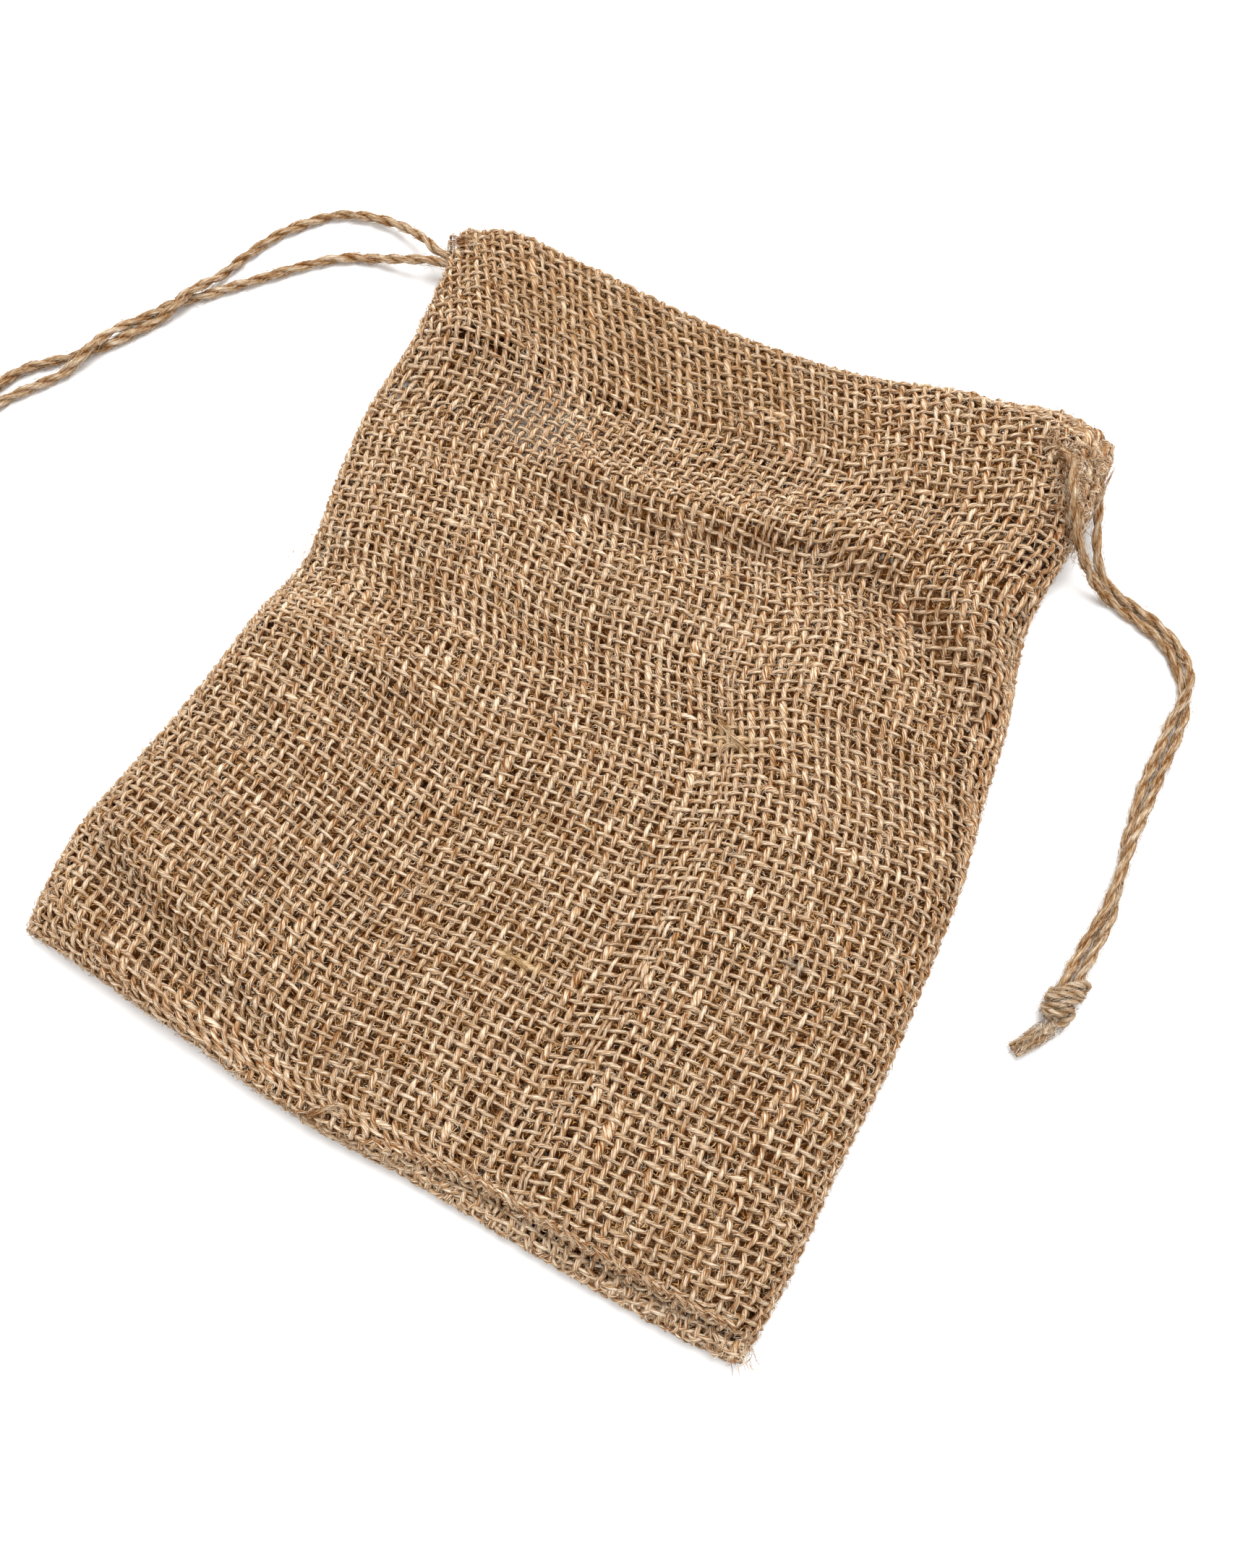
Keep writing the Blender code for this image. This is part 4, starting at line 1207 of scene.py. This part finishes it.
def cross_gaps(fibres, count, warps, rows, length, lifts, tone):
    """Short bent fibres that cross the openings between the yarns."""
    warp = np.floor(random.uniform(*warps, count)) + 0.5 + random.normal(0.0, 0.2, count)
    row = np.floor(random.uniform(*rows, count)) + 0.5 + random.normal(0.0, 0.2, count)
    shifted, level = warp, row
    for _pass in range(3):
        shifted, level = warp + warp_drift(shifted, level), row + weft_drift(shifted, level)
    place, out, across, along = cloth_frame(shifted, level)
    angle = random.uniform(0.0, 2 * math.pi, count)
    half = 0.5 * length * random.lognormal(0.0, 0.3, count)[:, None]
    bow = random.normal(0.0, 0.45, (count, 1)) * half
    lifts = [random.uniform(*lifts, (count, 1)) for _point in range(3)]
    way = turned(angle, across, along)
    fibres.add(bent_fibres(place, out, way, half, (0.0, bow, 0.0), lifts), GAP_RADII, tone)


def on_skin(x, y, lift):
    """Points of fibres on the front panel, or level with its edge beside it."""
    beside_it = (x < left_side(y)) | (x > right_side(y))
    height = np.where(beside_it, SIDE_HEIGHT, front_height(x, y))
    return np.stack((x, y, height + lift - FIBRE_SINK), axis=2)


def lay_tufts(fibres):
    """The tufts of the table, each a bundle of waved fibres along its run."""
    steps = np.linspace(0.0, 1.0, 9)
    for _name, count, start_width, end_width, places in TUFTS:
        run = curve_through(places, 12)
        reach = np.linspace(0.0, 1.0, len(run))
        share = random.uniform(0.35, 1.0, (count, 1))
        first = random.uniform(0.0, 1.0, (count, 1)) * (1.0 - share)
        at = first + share * steps
        x, y, lift = [np.interp(at, reach, values) for values in run.T]
        away = run_along(run[:, :2])[:, ::-1] * (-1.0, 1.0)
        away_x, away_y = [np.interp(at, reach, values) for values in away.T]
        off = random.normal(0.0, 0.6, (count, 1)) * mix(start_width, end_width, at)
        wave = random.uniform(0.5, 1.6, (count, 1)) * 2 * math.pi * at + random.uniform(0.0, 6.0, (count, 1))
        off = off + random.uniform(0.1, 0.4, (count, 1)) * np.sin(wave)
        lift = lift + random.uniform(-0.3, 0.5, (count, 1)) + 0.2 * np.cos(1.7 * wave)
        fibres.add(on_skin(x + off * away_x, y + off * away_y, lift), TUFT_RADII, -0.06)


def lay_frizz(fibres):
    """The patches of the table: short curled fibres that lie every way."""
    curl = np.linspace(0.0, 1.0, 5)
    for _name, count, middle_x, middle_y, half_x, half_y, main, lift in FRIZZ:
        angle = random.uniform(0.0, 2 * math.pi, count)
        far = np.sqrt(random.uniform(0.0, 1.0, count))
        start_x = middle_x + half_x * far * np.cos(angle)
        start_y = middle_y + half_y * far * np.sin(angle)
        heading = math.radians(main) + random.normal(0.0, 0.9, count)
        bend = random.normal(0.0, 1.5, count)
        step = random.uniform(0.9, 2.6, count)[:, None] / len(curl)
        way = heading[:, None] + bend[:, None] * curl
        x = start_x[:, None] + step * np.cumsum(np.cos(way), axis=1)
        y = start_y[:, None] + step * np.cumsum(np.sin(way), axis=1)
        raised = random.uniform(-0.2, lift, (count, 1)) + 0.35 * np.sin(math.pi * curl)
        fibres.add(on_skin(x, y, raised), FRIZZ_RADII)


# ================================================================== bottom seam
def on_lip(x, turn, stand):
    """Points on the round of the lip, stand above its cloth, and which way it faces there."""
    x, turn = np.broadcast_arrays(x, turn)
    lip = SEAM_LIP * lip_share(x)
    y = bottom_seam(x) + 0.5 * lip + 0.35 + (0.5 * lip + stand) * np.cos(turn)
    z = SEAM_LIP_HEIGHT / 2 + (SEAM_LIP_HEIGHT / 2 - 0.2 + stand) * np.sin(turn)
    out = np.column_stack((np.zeros(len(x)), np.cos(turn), np.sin(turn)))
    return np.column_stack((x, y, np.maximum(z, LIP_FLOOR))), out


def loop_over_lip(strands, lip_from, lip_to):
    turn = np.linspace(*np.radians(LIP_FACES), 13)
    for number, x in enumerate(np.arange(lip_from, lip_to, LIP_STEP)):
        lean = random.normal(0.1, 0.35) * np.cos(turn) + wander(turn, ((0.8, 0.16),))
        weave = 0.26 * np.cos(LIP_WEAVES * turn + math.pi * number)
        line, out = on_lip(x + random.normal(0.0, 0.16) + lean, turn, LIP_STAND + weave)
        width = random.uniform(0.36, 0.54) * (1.0 + wander(np.arange(13.0), ((2.0, 0.15),)))
        strands.add(line, out, width, 0.34, random.normal(0.07, 0.06))


def run_along_lip(strands, lip_from, lip_to):
    x = np.arange(lip_from, lip_to, 0.5)
    for face in np.radians(LIP_YARNS):
        turn = face + wander(x, ((3.0, 0.09),))
        weave = 0.30 * np.cos(math.pi * (x - lip_from) / LIP_STEP + LIP_WEAVES * face + math.pi)
        line, out = on_lip(x, turn, LIP_STAND + weave)
        strands.add(line, out, 0.38 * (1.0 + wander(x, ((1.5, 0.15),))), 0.28, random.normal(0.10, 0.04))


def curl_on_lip(strands, lip_from, lip_to):
    share = np.linspace(-1.0, 1.0, 9)
    for _curl in range(LIP_CURLS):
        heading, length = random.uniform(0.0, math.pi), random.uniform(0.8, 1.6)
        bend = random.normal(0.0, 0.5)
        across = length * math.sin(heading) * share + bend * math.cos(heading) * share ** 2
        along = length * math.cos(heading) * share - bend * math.sin(heading) * share ** 2
        x = random.uniform(lip_from + 2.0, lip_to - 2.0) + along
        turn = math.radians(random.uniform(70.0, 185.0)) + across / 2.0
        line, out = on_lip(x, turn, 0.62 - 0.7 * share ** 2)
        width = random.uniform(0.18, 0.40) * np.cos(0.42 * math.pi * share) ** 0.5
        strands.add(line, out, width, 0.8 * width, random.normal(0.10, 0.08))


def braid_above_lip(strands):
    """Slanted strokes that pass over and under each other."""
    share = np.linspace(0.0, 1.0, 9)
    for x in np.arange(SEAM_LIP_START[0] + 6.0, BOTTOM_SEAM[-1][0] - 6.5, BRAID_STEP):
        for rise in (-1.0, 1.0):
            start = x + random.normal(0.0, 0.35) + (0.0 if rise > 0 else 0.5 * BRAID_STEP)
            x_along = start + random.uniform(2.4, 3.6) * share
            bow = rise * (share - 0.5) + 0.2 * np.sin(math.pi * share)
            y = bottom_seam(x_along) + SEAM_LIP * lip_share(x_along) + BRAID_RISE
            y = y + random.uniform(*BRAID_WIDTHS) * bow
            over = 0.22 * rise * np.cos(2 * math.pi * share)
            tucked = 0.8 * np.abs(2.0 * share - 1.0) ** 6
            line = np.column_stack((x_along, y, front_height(x_along, y) - 0.30 + over - tucked))
            width = random.uniform(0.30, 0.50) * np.sin(math.pi * mix(0.12, 0.88, share)) ** 0.5
            strands.add(line, np.tile((0.0, -0.5, 1.0), (9, 1)), width, 0.8 * width, random.normal(0.0, 0.05))


def sew_bottom_seam():
    """Yarns that loop over the lip and along it, loose curls, and strokes braided above it."""
    strands = Strands(5)
    lip_ends = SEAM_LIP_START[0] - 4.0, BOTTOM_SEAM[-1][0] - 1.5
    loop_over_lip(strands, *lip_ends)
    run_along_lip(strands, *lip_ends)
    curl_on_lip(strands, *lip_ends)
    braid_above_lip(strands)
    return strands.make("seam_loops", HESSIAN)


# ================================================================== cloth
def gather_fibres():
    """Fibres on the front, in its gaps, and on the back and the edges."""
    on_front, in_gaps, on_back = Fibres(), Fibres(), Fibres()
    for batch in LOOSE_ON_FRONT:
        lay_on_cloth(on_front, *batch)
    lay_tufts(on_front)
    lay_frizz(on_front)
    for batch in IN_FRONT_GAPS:
        cross_gaps(in_gaps, *batch)
    for batch in IN_BACK_GAPS:
        cross_gaps(on_back, *batch)
    for batch in LOOSE_ON_EDGES:
        lay_on_cloth(on_back, *batch)
    return on_front, in_gaps, on_back


def make_cloth():
    on_front, in_gaps, on_back = gather_fibres()
    first_side, second_side = -SIDE_WARPS // 2, FRONT_WARPS + SIDE_WARPS // 2
    outer_rows, inner_rows = range(-6, MOUTH_ROW + 6), range(INNER_START, LAST_ROW + 1)
    turned_in = MOUTH_ROW + 0.75 * TURN_ROWS
    inner_numbers = [*range(1, FRONT_WARPS), *range(BACK_START + 1, BACK_END)]
    # The yarns inside the casing and of the back get lower tones: painted shade, as they are seen through the
    # front's openings
    front = [
        weave_warps(
            "front_warps", range(first_side, second_side + 1), spaced(0.0, INNER_START, 2), 5,
            WARP_HALF_WIDTH,
        ),
        weave_wefts(
            "front_wefts", outer_rows, turned_in, spaced(-SIDE_WARPS, BACK_START, 2), 4,
            WEFT_HALF_WIDTH, 0.08,
        ),
        weave_wefts(
            "front_casing_wefts", inner_rows, LAST_ROW + 1, spaced(0.5, FRONT_WARPS - 0.5, 1.6), 4,
            BACK_HALF_WIDTH, -0.05,
        ),
        on_front.make("front_fibres", FIBRE),
        in_gaps.make("gap_fibres", GAP_SHADE_FIBRE),
        sew_bottom_seam(),
    ]
    back = [
        weave_warps(
            "back_warps", range(second_side + 1, RING + first_side), spaced(0.0, INNER_START, 1.5), 4,
            BACK_HALF_WIDTH, -0.08,
        ),
        weave_wefts(
            "back_wefts", outer_rows, turned_in, spaced(BACK_START, BACK_END, 1.5), 4, BACK_HALF_WIDTH, -0.08,
        ),
        weave_wefts(
            "back_casing_wefts", inner_rows, LAST_ROW + 1, spaced(BACK_START + 0.5, BACK_END - 0.5, 1.6), 4,
            BACK_HALF_WIDTH,
        ),
        weave_warps(
            "casing_warps", inner_numbers, spaced(INNER_START, LAST_ROW, 1.6), 4, BACK_HALF_WIDTH, -0.05,
        ),
        on_back.make("back_fibres", FIBRE),
    ]
    for piece in front + back:
        dress(piece, "sack")


# ================================================================== studio
CAMERA_PLACE = (36.94, -65.52, 212.5)
CAMERA_TILT = 16.5
CAMERA_TURN = 27.0
CAMERA_LENS = 29.88
FLOOR_HALF_SIZE = 3000.0
TABLE_WHITE = 0.93
SKY_STRENGTH = 0.93
LAMP_PLACE = (-60.0, 260.0, 640.0)   # it shines on the middle of the sack
LAMP_SIZE = 520.0
LAMP_WATTS = 5.5


def make_camera():
    data = bpy.data.cameras.new("camera")
    data.lens = CAMERA_LENS
    data.sensor_width = 36.0
    data.clip_start = 0.01
    camera = add_object("camera", data)
    camera.location = [value * MM for value in CAMERA_PLACE]
    camera.rotation_euler = (math.radians(CAMERA_TILT), 0.0, math.radians(CAMERA_TURN))
    bpy.context.scene.camera = camera


def make_lamp():
    data = bpy.data.lights.new("soft_box", "AREA")
    data.shape = "DISK"
    data.size = LAMP_SIZE * MM
    data.energy = LAMP_WATTS
    lamp = add_object("soft_box", data)
    lamp.location = [value * MM for value in LAMP_PLACE]
    x, y, z = LAMP_PLACE
    lamp.rotation_euler = (math.atan2(math.hypot(x, y), z), 0.0, math.atan2(x, -y))


def make_studio():
    mesh = bmesh.new()
    bmesh.ops.create_grid(mesh, x_segments=1, y_segments=1, size=FLOOR_HALF_SIZE * MM)
    data = bpy.data.meshes.new("floor")
    mesh.to_mesh(data)
    mesh.free()
    table = Shading("white_table", 0.9)
    table.feed(table.sockets["Base Color"], (TABLE_WHITE, TABLE_WHITE, TABLE_WHITE, 1.0))
    data.materials.append(table.material)
    add_object("floor", data)

    world = bpy.data.worlds.new("studio")
    world.use_nodes = True
    sky = world.node_tree.nodes["Background"].inputs
    sky["Color"].default_value = (1.0, 1.0, 1.0, 1.0)
    sky["Strength"].default_value = SKY_STRENGTH
    bpy.context.scene.world = world
    bpy.context.scene.view_settings.view_transform = "Standard"
    make_lamp()


make_camera()
loose = Fibres()
make_drawstrings(loose)
make_cloth()
twine_fibres = loose.make("twine_fibres", TWINE_FIBRE)
dress(twine_fibres)
make_studio()
